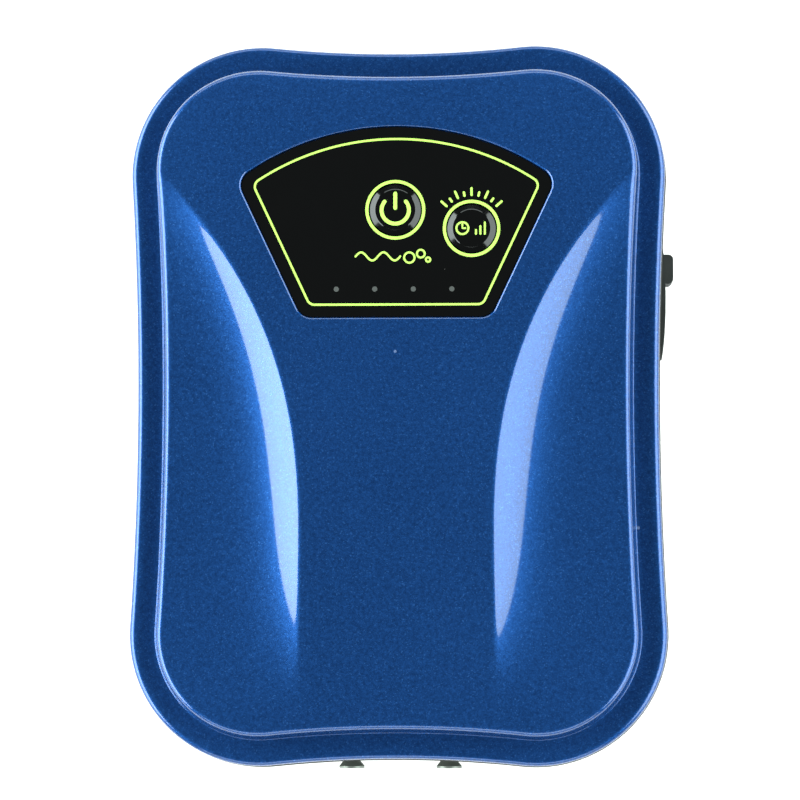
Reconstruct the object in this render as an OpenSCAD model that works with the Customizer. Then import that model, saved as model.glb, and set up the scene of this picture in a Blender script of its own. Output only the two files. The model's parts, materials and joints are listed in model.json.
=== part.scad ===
// Portable twin-outlet aquarium air pump: a battery-powered pump in a two-part case.
// It lies on its back: +Z points out of the front face, +Y to the panel end, and the
// hose outlets point along -Y. Millimetres. The origin is the middle of the resting plane.

/* [Case] */
// Width over the widest points of the case
body_w = 104.2; // [102:0.2:126]
// Length over the longest points of the case
body_l = 140.2; // [138:0.2:170]
// How far each long side curves in at its middle
side_pinch = 1.4; // [0.8:0.1:2.4]
// How far each end curves in at its middle
end_pinch = 1.4; // [0.8:0.1:2.4]
// Radius of the four corners
corner_r = 25.4; // [23:0.2:31]
// Wall thickness of both shells
wall = 2.4; // [2:0.1:2.9]
// Height of the joint between the two shells
joint_z = 25; // [25:0.5:28]
// Height of the ledge that runs round the front
rim_z = 33; // [32:0.5:36]
// Height of the raised front, which is the overall height
top_z = 42; // [41:0.5:52]
// Width of the ledge between the outer edge and the raised front
ledge_w = 5.1; // [4:0.1:6.2]

/* [Raised front] */
// Width of the centre ridge where it is narrowest
ridge_w = 37.4; // [34:0.2:44]
// Width of the centre ridge at its wide upper end
ridge_top_w = 79.5; // [76:0.5:84]
// Depth of the two scoops beside the ridge
scoop_depth = 5.2; // [3:0.1:5.6]
// Run over which a scoop falls most of its depth
scoop_run = 6.4; // [4:0.1:9]
// How far the ridge falls towards the outlet end
end_fall = 4; // [2:0.1:4.4]
// How far the ridge falls towards the panel end
head_fall = 1.6; // [0.5:0.1:2.5]

/* [Control panel] */
// Panel width at its upper corners
panel_top_w = 61.1; // [58:0.1:64]
// Panel width at its lower edge
panel_low_w = 36.2; // [36:0.1:42]
// Panel height from the lower edge to the top of the arc
panel_h = 36.65; // [36:0.05:39]
// Radius of the arched upper edge
panel_arc_r = 51; // [45:1:80]
// Thickness of the panel
panel_t = 1; // [0.8:0.1:1.2]
// Radius of the power button
power_r = 4.95; // [4.2:0.05:5.6]
// Radius of the interval timer button
timer_r = 4.7; // [4.2:0.05:5.2]
// Travel of both buttons
press = 0.5; // [0.3:0.05:0.6]
// Distance between neighbouring indicator lights
led_pitch = 7.4; // [6:0.05:8]

/* [Air outlets] */
// Distance between the two outlet nozzles
nozzle_gap = 19.2; // [17:0.2:22]
// Radius of a nozzle's neck
nozzle_r = 1.6; // [1.4:0.05:1.9]
// Radius of a nozzle's flared end
flare_r = 2.5; // [2.2:0.05:2.8]
// Depth of the bay that the nozzles stand in
bay_depth = 5.2; // [4:0.1:6]
// Bore of each nozzle and hose tail
air_bore_r = 0.9; // [0.7:0.05:1.1]

/* [Drive] */
// Radius of the coil
coil_r = 9; // [7:0.1:9.3]
// Greatest swing of an arm to each side, in degrees
arm_swing = 2; // [1:0.1:2.2]
// Thickness of a swing arm
arm_t = 2.5; // [2:0.1:3]
// Radius of a diaphragm's clamped edge
diaphragm_r = 9; // [7:0.1:9.4]
// Radius of the arm pivot pins
pin_r = 1.5; // [1.2:0.05:1.8]

/* [Battery] */
// Radius of one cell
cell_r = 9.2; // [8.5:0.05:9.3]
// Length of one cell
cell_l = 65.2; // [60:0.2:66]

/* [Charging port] */
// Length of the rubber cover, along the side of the case
cover_l = 24; // [22:0.2:26]
// Height of the rubber cover
cover_h = 10; // [9:0.2:11]
// How far the cover stands out of its seat
cover_bulge = 2.4; // [2.2:0.1:3]
// How far the pull tab stands out of its seat
tab_reach = 4; // [3.6:0.1:4]
// Width of the pull tab, along the side of the case
tab_w = 5.8; // [5:0.1:7]

/* [Hidden] */
$fn = 48;

// Fits and small standard sizes
fit_gap = 0.15;         // clearance round pieces that slide or drop into place
pin_gap = 0.05;         // radial running clearance on the arm pivots
eps = 0.5;              // overshoot of cutting tools past an open face
foot_proud = 1.2;
back_z = foot_proud;
floor_z = back_z + wall;
seal_t = 0.8;
seal_z = joint_z + seal_t;
seal_proud = 0.45;
tongue_t = 1;
tongue_h = 2;
rim_r = 1;              // rounding of the outer edge of the front shell
edge_r = 0.8;           // rounding of the raised front's edge
ledge_dip = 0.25;
step_draft = 0.7;       // lean of the raised front's side wall
back_r = 5;             // rounding of the rear shell's outer edge
side_draft = 0.5;

// Outline: four corner arcs joined by shallow inward arcs that are tangent to them
half_w = body_w / 2;
half_l = body_l / 2;
corner_x = half_w - corner_r;
corner_y = half_l - corner_r;
function pinch_radius(pinch, span) =
    (pow(corner_r - pinch, 2) + span * span - corner_r * corner_r) / (2 * pinch);
side_arc_r = pinch_radius(side_pinch, corner_y);
end_arc_r = pinch_radius(end_pinch, corner_x);
side_arc_x = half_w - side_pinch + side_arc_r;
end_arc_y = half_l - end_pinch + end_arc_r;
side_turn = atan2(corner_y, side_arc_x - corner_x);
end_turn = atan2(corner_x, end_arc_y - corner_y);
side_steps = 3;
corner_steps = 12;
end_steps = 3;
quarter = side_steps + corner_steps + end_steps;
around = 4 * quarter;

function first_quarter(k, inset) =
    k <= side_steps
        ? let (a = side_turn * k / side_steps, r = side_arc_r + inset)
            [side_arc_x - r * cos(a), r * sin(a)]
    : k <= side_steps + corner_steps
        ? let (a = -side_turn + (90 + side_turn + end_turn) * (k - side_steps) / corner_steps,
            r = corner_r - inset)
            [corner_x + r * cos(a), corner_y + r * sin(a)]
    : let (a = end_turn * (quarter - k) / end_steps, r = end_arc_r + inset)
            [r * sin(a), end_arc_y - r * cos(a)];

function outline_point(k, inset) =
    k < quarter ? first_quarter(k, inset)
    : k < 2 * quarter ? let (p = first_quarter(2 * quarter - k, inset)) [-p.x, p.y]
    : k < 3 * quarter ? -first_quarter(k - 2 * quarter, inset)
    : let (p = first_quarter(around - k, inset)) [p.x, -p.y];

function outline(inset) = [for (k = [0 : around - 1]) outline_point(k, inset)];
function ring(inset, z) = [for (p = outline(inset)) [p.x, p.y, z]];

// Where the side and end walls stand at a place along them
function side_x(y, inset = 0) =
    side_arc_x - sqrt(pow(side_arc_r + inset, 2) - y * y);

// Front surface: a ridge that flares to the panel end, with a scoop on each side
ridge_neck_y = -28;
ridge_top_y = half_l - 32.4;
scoop_head_y = half_l - 26;
scoop_foot_y = 11 - half_l;
scoop_mid_y = -9;
head_roll_y = half_l - 20;
foot_roll_y = -5;
step_inset = ledge_w + step_draft + edge_r;
flare_power = 2.5;
flare_rate = (ridge_top_w - ridge_w) / 2 / pow(ridge_top_y - ridge_neck_y, flare_power);
function crease_x(y) = ridge_w / 2 + flare_rate * pow(max(0, y - ridge_neck_y), flare_power);
function ridge_z(y) = top_z
    - head_fall * pow(max(0, y - head_roll_y) / (half_l - step_inset - head_roll_y), 2)
    - end_fall * pow(max(0, foot_roll_y - y) / (half_l - step_inset + foot_roll_y), 2);
function scoop_share(y) =
    let (u = y > scoop_mid_y ? (y - scoop_mid_y) / (scoop_head_y - scoop_mid_y)
        : (scoop_mid_y - y) / (scoop_mid_y - scoop_foot_y))
    u >= 1 ? 0 : pow(cos(90 * u), 1.3);
function front_z(x, y) = ridge_z(y)
    - scoop_depth * scoop_share(y) * (1 - exp(-max(0, abs(x) - crease_x(y)) / scoop_run));

// The mesh of the front surface: rings round a middle point, one of them on the crease
middle_y = -5;
crease_cap = 0.88;
inner_shares = [1, 0.8, 0.55, 0.28];
outer_shares = [0.66, 0.42, 0.24, 0.1];
function beyond(p, t) = abs(t * p.x) - crease_x(middle_y + t * (p.y - middle_y));
function bisect(p, low, high, n) = n == 0 ? (low + high) / 2
    : beyond(p, (low + high) / 2) > 0 ? bisect(p, low, (low + high) / 2, n - 1)
    : bisect(p, (low + high) / 2, high, n - 1);
function crease_share(p) = beyond(p, 1) <= 0 ? crease_cap : min(crease_cap, bisect(p, 0, 1, 18));
function toward_middle(p, t, drop) =
    let (x = t * p.x, y = middle_y + t * (p.y - middle_y)) [x, y, front_z(x, y) - drop];
function front_rings(inset, drop) = let (edge = outline(inset)) concat(
    [for (s = outer_shares) [for (p = edge) let (c = crease_share(p))
        toward_middle(p, c + s * (1 - c), drop)]],
    [for (s = inner_shares) [for (p = edge) toward_middle(p, s * crease_share(p), drop)]]);
function step_ring(inset, drop) = [for (p = outline(inset)) [p.x, p.y, front_z(p.x, p.y) - drop]];

// A closed skin over a stack of rings, from the lowest ring to the last one
module skin(rings, low, high) {
    n = len(rings[0]);
    last = len(rings) - 1;
    points = concat([for (r = rings) each r], [low, high]);
    polyhedron(points, concat(
        [for (j = [0 : last - 1], k = [0 : n - 1]) [j * n + k, (j + 1) * n + k, (j + 1) * n + (k + 1) % n]],
        [for (j = [0 : last - 1], k = [0 : n - 1])
            [j * n + k, (j + 1) * n + (k + 1) % n, j * n + (k + 1) % n]],
        [for (k = [0 : n - 1]) [(last + 1) * n, k, (k + 1) % n]],
        [for (k = [0 : n - 1]) [(last + 1) * n + 1, last * n + (k + 1) % n, last * n + k]]));
}
module loft(stations) {
    last = len(stations) - 1;
    skin([for (s = stations) ring(s[0], s[1])], [0, 0, stations[0][1]], [0, 0, stations[last][1]]);
}

// Places that several pieces share
boss_r = 3.6;
boss_reach = corner_r - ledge_w - wall - boss_r - 0.1;
boss_x = corner_x + boss_reach * cos(45);
boss_y = corner_y + boss_reach * sin(45);
pilot_r = 1.5;
screw_r = 1.45;
screw_head_r = 3;
screw_head_h = 2.2;
head_seat_z = back_z + 4.3;
screw_top_z = joint_z + 9;
foot_r = 6.5;
foot_x = boss_x - 4;
foot_y = boss_y - 12.8;
foot_sink = 0.8;

panel_apex_y = half_l - 17.35;
panel_low_y = panel_apex_y - panel_h;
panel_sunk = 0.2;
panel_z = top_z - panel_sunk;
panel_floor_z = panel_z - panel_t;
ceiling_z = top_z - wall;
power_at = [-0.15, panel_low_y + 20.6];
timer_at = [14.5, panel_low_y + 16.95];
led_y = panel_low_y + 5.3;
led_xs = [for (k = [0 : 3]) (k - 1.5) * led_pitch - 0.4];
guide_r = 0.5;

board_t = 1.6;
board_z = top_z - 8.6;
board_low_z = board_z - board_t;
switch_h = 3.1;
switch_w = 6.2;
plunger_r = 1.75;
plunger_top = board_z + 3.9;
cap_flange_t = 0.8;
cap_top = panel_z + 0.35;
board_post_r = 2.2;
board_posts = [for (s = [-1, 1]) each [[22 * s, panel_low_y + 33.2], [18.5 * s, panel_low_y + 3.4]]];
connector_size = [7, 5, 4.6];
connector_y = panel_low_y + 8.5;
connector_xs = [-8, 4, 16];
connector_low = board_low_z - connector_size.z;

cell_pitch = 2 * cell_r + 0.6;
cell_z = floor_z + 1.2 + cell_r;
cell_upper_y = boss_y - boss_r - 1.4 - cell_r - 1;
cell_lower_y = cell_upper_y - cell_pitch;
cell_x0 = 4.5 - (half_w - side_pinch - wall);
cell_x1 = cell_x0 + cell_l;
tab_t = 0.3;
nipple_h = 0.8;

drive_z = 17;
bay_half_w = nozzle_gap / 2 + 8;
bay_half_h = 5.5;
bay_y = bay_depth - (half_l - end_pinch);
bay_in_y = bay_y + wall;
flare_end_y = bay_y - 7.5;
nozzle_xs = [-nozzle_gap / 2, nozzle_gap / 2];
grommet_r = 3.4;
grommet_bore = 2.3;
tail_r = 2;
tail_l = 4.2;
hose_r = 3.1;
hose_wall_gap = 0.05;
head_low_y = bay_in_y + 9.1;
head_l = 2 * diaphragm_r + 2;
head_gap = 1;
head_half_h = diaphragm_r + 0.4;
valve_offset = 3.2;
head_y = head_low_y + head_l / 2;
chamber_r = 6.6;
chamber_d = 3;
plate_d = 1.2;
duct_depth = 1.4;        // between the air duct's axis and the valve plate's seat
head_face = nozzle_gap / 2 + duct_depth + plate_d + chamber_d;
head_w = head_face - head_gap;
coil_y = head_low_y + head_l + 2 + coil_r;
core_half = head_face + 0.3;
bobbin_half = core_half - 2.5;
magnet_t = 4;
magnet_r = 6;
magnet_lever = 24;       // from the arm's pivot to the magnet's middle
magnet_gap = 1.2 + magnet_lever * sin(arm_swing);
arm_in = core_half + magnet_gap + magnet_t;
arm_mid = arm_in + arm_t / 2;
pivot_y = coil_y + magnet_lever;
arm_half_h = 6;
barrel_r = 3.3;
bracket_t = 1.5;
bracket_z = drive_z - head_half_h - bracket_t;
bracket_x = arm_mid + 5.5;
damper_at = [for (s = [-1, 1]) each
    [[s * (bracket_x - 4), head_low_y + 4], [s * (bracket_x - 4) * 0.5, pivot_y + 3]]];
damper_r = 3.2;
pin_top = drive_z + arm_half_h + 3;

intake_y = pivot_y - 8.2;
intake_half_w = 13;
intake_half_l = 6;
slot_w = 1.6;
slot_count = 6;
felt_t = 1.3;
retainer_t = 0.6;

port_y = panel_low_y + 6.8;
cover_y1 = port_y + 10.7;
cover_y0 = cover_y1 - cover_l;
cover_mid_y = (cover_y0 + cover_y1) / 2;
port_z = drive_z - 0.5;
seat_x = side_x(cover_mid_y) - 0.9;
hinge_y = cover_y0 + 2.6;
anchor_y = cover_y0 + 1.5;
tab_y = cover_y1 - 6.15;
tab_h = 6.4;
cover_rise = 0.7;
cover_arc_r = (pow(cover_l / 2, 2) + pow(cover_rise, 2)) / (2 * cover_rise);
cover_arc_x = seat_x + cover_bulge - cover_arc_r;
socket_size = [7.35, 8.94, 3.16];
socket_mouth_x = seat_x - 0.4;
socket_skin = 0.3;
charge_board_t = 1;
charge_board_z = port_z - socket_size.z / 2;
charge_board_x = [socket_mouth_x - 15.5, socket_mouth_x - 1.9];
charge_post_at = [for (s = [-1, 1]) [charge_board_x[0] + 3, port_y + s * 4.5]];

module at_corners(x, y) for (sx = [-1, 1], sy = [-1, 1]) translate([sx * x, sy * y, 0]) children();
module at_points(list) for (p = list) translate([p.x, p.y, 0]) children();
module tube(r_out, r_in, h) difference() {
    cylinder(r = r_out, h = h);
    translate([0, 0, -eps]) cylinder(r = r_in, h = h + 2 * eps);
}
module block(x, y, z) translate([x[0], y[0], z[0]]) cube([x[1] - x[0], y[1] - y[0], z[1] - z[0]]);
module along_y(x, z, y) translate([x, y, z]) rotate([90, 0, 0]) children();
module slot(l, w, h) {
    cube([l - w, w, h], center = true);
    for (s = [-1, 1]) translate([s * (l - w) / 2, 0, 0]) cylinder(d = w, h = h, center = true);
}
module stadium_x(l, h, t) rotate([0, 90, 0]) rotate(90) linear_extrude(t) {
    square([l - h, h], center = true);
    for (s = [-1, 1]) translate([s * (l - h) / 2, 0]) circle(d = h);
}

// ---------------------------------------------------------------- case
module front_shell() color([0.05, 0.17, 0.45]) difference() {
    skin(concat(
        [ring(0, seal_z), ring(0, rim_z - rim_r), ring(0.29 * rim_r, rim_z - 0.29 * rim_r),
            ring(rim_r, rim_z), ring(ledge_w - 0.4, rim_z - ledge_dip),
            ring(ledge_w, rim_z - ledge_dip + 0.3),
            step_ring(ledge_w + step_draft, edge_r),
            step_ring(ledge_w + step_draft + 0.29 * edge_r, 0.29 * edge_r), step_ring(step_inset, 0)],
        front_rings(step_inset, 0)),
        [0, 0, seal_z], [0, middle_y, front_z(0, middle_y)]);
    difference() {
        front_hollow();
        at_corners(boss_x, boss_y) translate([0, 0, seal_z]) cylinder(r = boss_r, h = top_z);
        at_points(board_posts) translate([0, 0, board_z]) cylinder(r = board_post_r, h = top_z);
    }
    at_corners(boss_x, boss_y) translate([0, 0, seal_z - eps])
        cylinder(r = pilot_r, h = screw_top_z - seal_z + 2 * eps);
    at_points(board_posts) translate([0, 0, board_z - eps]) cylinder(r = 0.8, h = 5);
    translate([0, 0, panel_floor_z]) linear_extrude(wall) panel_shape(fit_gap);
    translate([power_at.x, power_at.y, ceiling_z - eps]) cylinder(r = power_r + fit_gap, h = wall);
    translate([timer_at.x, timer_at.y, ceiling_z - eps]) cylinder(r = timer_r + fit_gap, h = wall);
    for (x = led_xs) translate([x, led_y, ceiling_z - eps]) cylinder(r = guide_r + fit_gap, h = wall);
}
module front_hollow() {
    under = step_inset - edge_r + wall;
    skin(concat(
        [ring(wall - tongue_t - fit_gap, seal_z - 1),
            ring(wall - tongue_t - fit_gap, joint_z + tongue_h + fit_gap),
            ring(wall, joint_z + tongue_h + fit_gap), ring(wall, rim_z - rim_r - wall),
            ring(wall + rim_r, rim_z - wall), ring(under - 0.3, rim_z - wall), step_ring(under, wall + 0.4),
            step_ring(under + 0.4, wall)],
        front_rings(under + 0.4, wall)),
        [0, 0, seal_z - 1], [0, middle_y, front_z(0, middle_y) - wall]);
}

// Stations of the rear shell's rounded lower edge, for its outside or its inside
function lean(z) = side_draft * (joint_z - z) / (joint_z - back_z);
function back_edge(inset, low, r) = [for (a = [0 : 18 : 90])
    let (z = low + r * (1 - cos(a))) [lean(z) + inset + r * (1 - sin(a)), z]];
module rear_shell() color([0.09, 0.1, 0.11]) difference() {
    loft(concat(back_edge(0, back_z, back_r),
        [[0, joint_z], [wall - tongue_t, joint_z], [wall - tongue_t, joint_z + tongue_h]]));
    difference() {
        loft(concat(back_edge(wall, floor_z, back_r - wall),
            [[wall, joint_z], [wall, joint_z + tongue_h + 1]]));
        rear_supports();
    }
    rear_cuts();
}
module rear_supports() {
    at_corners(boss_x, boss_y) cylinder(r = boss_r + 0.6, h = joint_z);
    block([-bay_half_w - wall, bay_half_w + wall], [-half_l, bay_in_y],
        [drive_z - bay_half_h - wall, drive_z + bay_half_h + wall]);
    at_points(damper_at) cylinder(r = 2, h = bracket_z - 0.4);
    at_points(charge_post_at) cylinder(r = 2.2, h = charge_board_z - charge_board_t);
    translate([0, intake_y, floor_z]) difference() {
        cube([2 * intake_half_w + 4.3, 2 * intake_half_l + 4.3, 2 * felt_t], center = true);
        cube([2 * intake_half_w + 2.3, 2 * intake_half_l + 2.3, 4 * felt_t], center = true);
    }
}
module rear_cuts() {
    at_corners(boss_x, boss_y) {
        translate([0, 0, back_z - eps]) cylinder(r = screw_head_r + 0.3, h = head_seat_z - back_z + eps);
        cylinder(r = screw_r + 0.25, h = joint_z + 1);
    }
    at_corners(foot_x, foot_y) translate([0, 0, back_z - eps])
        cylinder(r = foot_r + 0.1, h = foot_sink + eps);
    block([-bay_half_w, bay_half_w], [-half_l - 2, bay_y], [drive_z - bay_half_h, drive_z + bay_half_h]);
    for (x = nozzle_xs) along_y(x, drive_z, bay_in_y + eps)
        cylinder(r = grommet_r - 0.7, h = wall + 2 * eps);
    at_points(damper_at) translate([0, 0, floor_z + 0.4]) cylinder(r = 0.85, h = bracket_z);
    at_points(charge_post_at) translate([0, 0, floor_z + 2]) cylinder(r = 0.85, h = charge_board_z);
    for (k = [0 : slot_count - 1]) translate([(k - (slot_count - 1) / 2) * 4.2, intake_y, back_z])
        rotate(90) slot(2 * intake_half_l - 1, slot_w, 3 * wall);
    translate([seat_x, cover_mid_y, port_z]) stadium_x(cover_l + 0.4, cover_h + 0.4, wall + 4);
    translate([seat_x - wall - 1, port_y, port_z])
        stadium_x(socket_size.y + 2 * fit_gap, socket_size.z + 2 * fit_gap, 2 * wall);
    translate([seat_x - wall - 1, anchor_y, port_z]) rotate([0, 90, 0]) cylinder(r = 0.75, h = 2 * wall);
}

module shell_seal() color([0.05, 0.05, 0.05]) difference() {
    loft([[-seal_proud, joint_z], [-seal_proud, seal_z]]);
    loft([[wall - tongue_t - fit_gap, joint_z - 1], [wall - tongue_t - fit_gap, seal_z + 1]]);
}

// ---------------------------------------------------------------- control panel
module panel_shape(grow = 0) {
    arc_y = panel_apex_y - panel_arc_r;
    reach = asin(panel_top_w / 2 / panel_arc_r);
    steps = 10;
    offset(r = 3 + grow, $fn = 40) offset(delta = -3) polygon(concat(
        [[-panel_low_w / 2, panel_low_y], [panel_low_w / 2, panel_low_y]],
        [for (k = [0 : steps]) let (a = reach * (1 - 2 * k / steps))
            [panel_arc_r * sin(a), arc_y + panel_arc_r * cos(a)]]));
}
module control_panel() color([0.02, 0.02, 0.02]) difference() {
    translate([0, 0, panel_floor_z]) linear_extrude(panel_t) panel_shape();
    translate([power_at.x, power_at.y, panel_floor_z - 1]) cylinder(r = power_r + fit_gap, h = panel_t + 2);
    translate([timer_at.x, timer_at.y, panel_floor_z - 1]) cylinder(r = timer_r + fit_gap, h = panel_t + 2);
    for (x = led_xs) translate([x, led_y, panel_floor_z - 1]) cylinder(r = guide_r + 0.05, h = panel_t + 2);
}
module button_cap(r) rotate_extrude() {
    flange_top = ceiling_z - 0.1;
    polygon([[0, plunger_top], [2.4, plunger_top], [2.4, flange_top - cap_flange_t],
        [r + 1.1, flange_top - cap_flange_t], [r + 1.1, flange_top], [r, flange_top],
        [r, cap_top - 0.55], [r - 0.95, cap_top - 0.1], [r - 1.1, cap_top], [0, cap_top]]);
}
module power_button_cap() color([0.02, 0.02, 0.02])
    translate([power_at.x, power_at.y, 0]) button_cap(power_r);
module timer_button_cap() color([0.02, 0.02, 0.02])
    translate([timer_at.x, timer_at.y, 0]) button_cap(timer_r);
module light_guide() color([0.75, 0.78, 0.8]) {
    bar_low = board_z + 1.2;
    bar_top = bar_low + 1.6;
    block([led_xs[0] - 2, led_xs[3] + 2], [led_y - 1.6, led_y + 1.6], [bar_low, bar_top]);
    for (x = led_xs) translate([x, led_y, bar_top - 0.2])
        cylinder(r = guide_r, h = panel_z - bar_top + 0.2);
}

// ---------------------------------------------------------------- charging port cover
module cover_body() intersection() {
    translate([seat_x, cover_mid_y, port_z]) stadium_x(cover_l, cover_h, cover_bulge + 1);
    translate([cover_arc_x, cover_mid_y, port_z - cover_h])
        cylinder(r = cover_arc_r, h = 2 * cover_h, $fn = 240);
}
module port_cover() color([0.16, 0.17, 0.16]) {
    difference() {
        cover_body();
        block([0, seat_x + 10], [cover_y0 - 1, hinge_y + 0.05], [0, joint_z + 5]);
    }
    translate([seat_x + 1, tab_y - tab_w / 2, port_z - tab_h / 2]) linear_extrude(tab_h) {
        square([tab_reach - 2, tab_w]);
        translate([0, 1]) square([tab_reach - 1, tab_w - 2]);
        for (y = [1, tab_w - 1]) translate([tab_reach - 2, y]) circle(r = 1);
    }
    translate([seat_x - 1.2, port_y, port_z]) stadium_x(7.7, 2.3, 1.8);
}
module port_cover_anchor() color([0.16, 0.17, 0.16]) {
    intersection() {
        cover_body();
        block([0, seat_x + 10], [cover_y0 - 1, hinge_y - 0.05], [0, joint_z + 5]);
    }
    translate([seat_x - wall - 0.6, anchor_y, port_z]) rotate([0, 90, 0]) {
        cylinder(r = 0.7, h = wall + 0.8);
        translate([0, 0, -0.6]) cylinder(r = 1.1, h = 0.8);
    }
}

// ---------------------------------------------------------------- air outlets
module nozzle(x) along_y(x, drive_z, bay_in_y + tail_l) {
    tail_end = tail_l + wall;
    flare = bay_in_y + tail_l - flare_end_y;
    rotate_extrude() polygon([[air_bore_r, 0], [tail_r - 0.3, 0], [tail_r, 0.5], [tail_r, tail_l - 0.9],
        [grommet_bore, tail_l - 0.9], [grommet_bore, tail_end + 0.9], [nozzle_r, tail_end + 1.4],
        [nozzle_r, flare - 1.5], [flare_r, flare - 0.4], [flare_r, flare], [air_bore_r, flare]]);
}
module outlet_nozzle_left() color([0.55, 0.56, 0.54]) nozzle(nozzle_xs[0]);
module outlet_nozzle_right() color([0.55, 0.56, 0.54]) nozzle(nozzle_xs[1]);
module grommet(x) along_y(x, drive_z, bay_in_y + 0.9) rotate_extrude()
    polygon([[grommet_bore, 0], [grommet_r, 0], [grommet_r, 0.85], [grommet_r - 0.75, 0.85],
        [grommet_r - 0.75, wall + 0.95], [grommet_r, wall + 0.95],
        [grommet_r - 0.3, wall + 1.8], [grommet_bore, wall + 1.8]]);
module nozzle_grommet_left() color([0.05, 0.05, 0.05]) grommet(nozzle_xs[0]);
module nozzle_grommet_right() color([0.05, 0.05, 0.05]) grommet(nozzle_xs[1]);
module outlet_hoses() color([0.85, 0.87, 0.85]) for (x = nozzle_xs)
    along_y(x, drive_z, head_low_y - 0.1) tube(hose_r, tail_r + hose_wall_gap, head_low_y - bay_in_y - 1.1);

// ---------------------------------------------------------------- feet, screws and intake
module rubber_feet() color([0.06, 0.06, 0.06]) at_corners(foot_x, foot_y) rotate_extrude()
    polygon([[0, 0], [foot_r - 0.6, 0], [foot_r, 0.6],
        [foot_r, foot_proud + foot_sink], [0, foot_proud + foot_sink]]);
module cross_head(r, h, depth) difference() {
    cylinder(r = r, h = h);
    for (a = [0, 90]) rotate(a) cube([1.3 * r, 0.28 * r, 2 * depth], center = true);
}
module case_screws() color([0.6, 0.6, 0.62]) at_corners(boss_x, boss_y) {
    translate([0, 0, head_seat_z - screw_head_h]) cross_head(screw_head_r, screw_head_h, 1.3);
    translate([0, 0, head_seat_z - 0.1]) cylinder(r = screw_r, h = screw_top_z - head_seat_z);
}
module intake_felt() color([0.8, 0.8, 0.78]) translate([0, intake_y, floor_z + felt_t / 2])
    cube([2 * intake_half_w + 2, 2 * intake_half_l + 2, felt_t], center = true);
module intake_retainer() color([0.1, 0.1, 0.1]) translate([0, intake_y, floor_z + felt_t + retainer_t / 2])
    difference() {
        cube([2 * intake_half_w + 4.3, 2 * intake_half_l + 4.3, retainer_t], center = true);
        for (s = [-1, 1]) translate([s * (intake_half_w + 1) / 2, 0, 0])
            cube([intake_half_w - 2, 2 * intake_half_l - 1, 3], center = true);
    }

// ---------------------------------------------------------------- electronics
module main_board() color([0.05, 0.3, 0.12]) difference() {
    translate([0, 0, board_low_z]) linear_extrude(board_t) polygon([[-21.5, panel_low_y + 0.5],
        [21.5, panel_low_y + 0.5], [25.5, panel_low_y + 14], [25.5, panel_low_y + 36],
        [-25.5, panel_low_y + 36], [-25.5, panel_low_y + 14]]);
    at_points(board_posts) translate([0, 0, board_low_z - 1]) cylinder(r = 1.1, h = board_t + 2);
}
module board_screws() color([0.6, 0.6, 0.62]) at_points(board_posts) {
    translate([0, 0, board_low_z - 1.2]) cross_head(1.9, 1.2, 0.6);
    translate([0, 0, board_low_z - 0.1]) cylinder(r = 0.75, h = board_t + 4);
}
module board_chips() color([0.04, 0.04, 0.04]) {
    for (c = [[-15, 22, 7, 5, 1.5], [-13, 31, 4, 5, 1.4], [8, 27, 5, 4, 1.2], [22, 24, 3, 3, 2]])
        translate([c[0] - c[2] / 2, panel_low_y + c[1] - c[3] / 2, board_z]) cube([c[2], c[3], c[4]]);
    translate([-20.5, panel_low_y + 9, board_z]) cylinder(r = 2, h = 3.2);
}
module board_connectors() color([0.9, 0.9, 0.86]) for (x = connector_xs)
    translate([x - connector_size.x / 2, connector_y - connector_size.y / 2, connector_low])
        cube(connector_size);
module switch_body(at) translate([at.x, at.y, board_z]) difference() {
    translate([0, 0, switch_h / 2]) cube([switch_w, switch_w, switch_h], center = true);
    translate([0, 0, 1.2]) cylinder(r = plunger_r + 0.1, h = switch_h);
}
module power_switch_body() color([0.12, 0.12, 0.12]) switch_body(power_at);
module timer_switch_body() color([0.12, 0.12, 0.12]) switch_body(timer_at);
module plunger(at) translate([at.x, at.y, board_z + 1.3 + press])
    cylinder(r = plunger_r, h = plunger_top - board_z - 1.3 - press);
module power_switch_plunger() color([0.7, 0.7, 0.68]) plunger(power_at);
module timer_switch_plunger() color([0.7, 0.7, 0.68]) plunger(timer_at);
module indicator_leds() color([0.95, 0.95, 0.8]) for (x = led_xs)
    translate([x, led_y, board_z + 0.4]) cube([1.6, 0.8, 0.8], center = true);

module charge_board() color([0.05, 0.3, 0.12]) difference() {
    block(charge_board_x, [port_y - 7, port_y + 7], [charge_board_z - charge_board_t, charge_board_z]);
    at_points(charge_post_at) translate([0, 0, charge_board_z - 2]) cylinder(r = 1.1, h = 3);
}
module charge_board_screws() color([0.6, 0.6, 0.62]) at_points(charge_post_at) {
    translate([0, 0, charge_board_z + 1.2]) mirror([0, 0, 1]) cross_head(1.9, 1.2, 0.6);
    translate([0, 0, charge_board_z - 5]) cylinder(r = 0.75, h = 5.1);
}
module charge_socket() color([0.7, 0.7, 0.72]) translate([socket_mouth_x - socket_size.x, port_y, port_z]) {
    difference() {
        stadium_x(socket_size.y, socket_size.z, socket_size.x);
        translate([1.2, 0, 0])
            stadium_x(socket_size.y - 2 * socket_skin, socket_size.z - 2 * socket_skin, socket_size.x);
    }
    translate([0.5 + (socket_size.x - 2) / 2, 0, 0]) cube([socket_size.x - 2, 6.6, 0.7], center = true);
}

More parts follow.
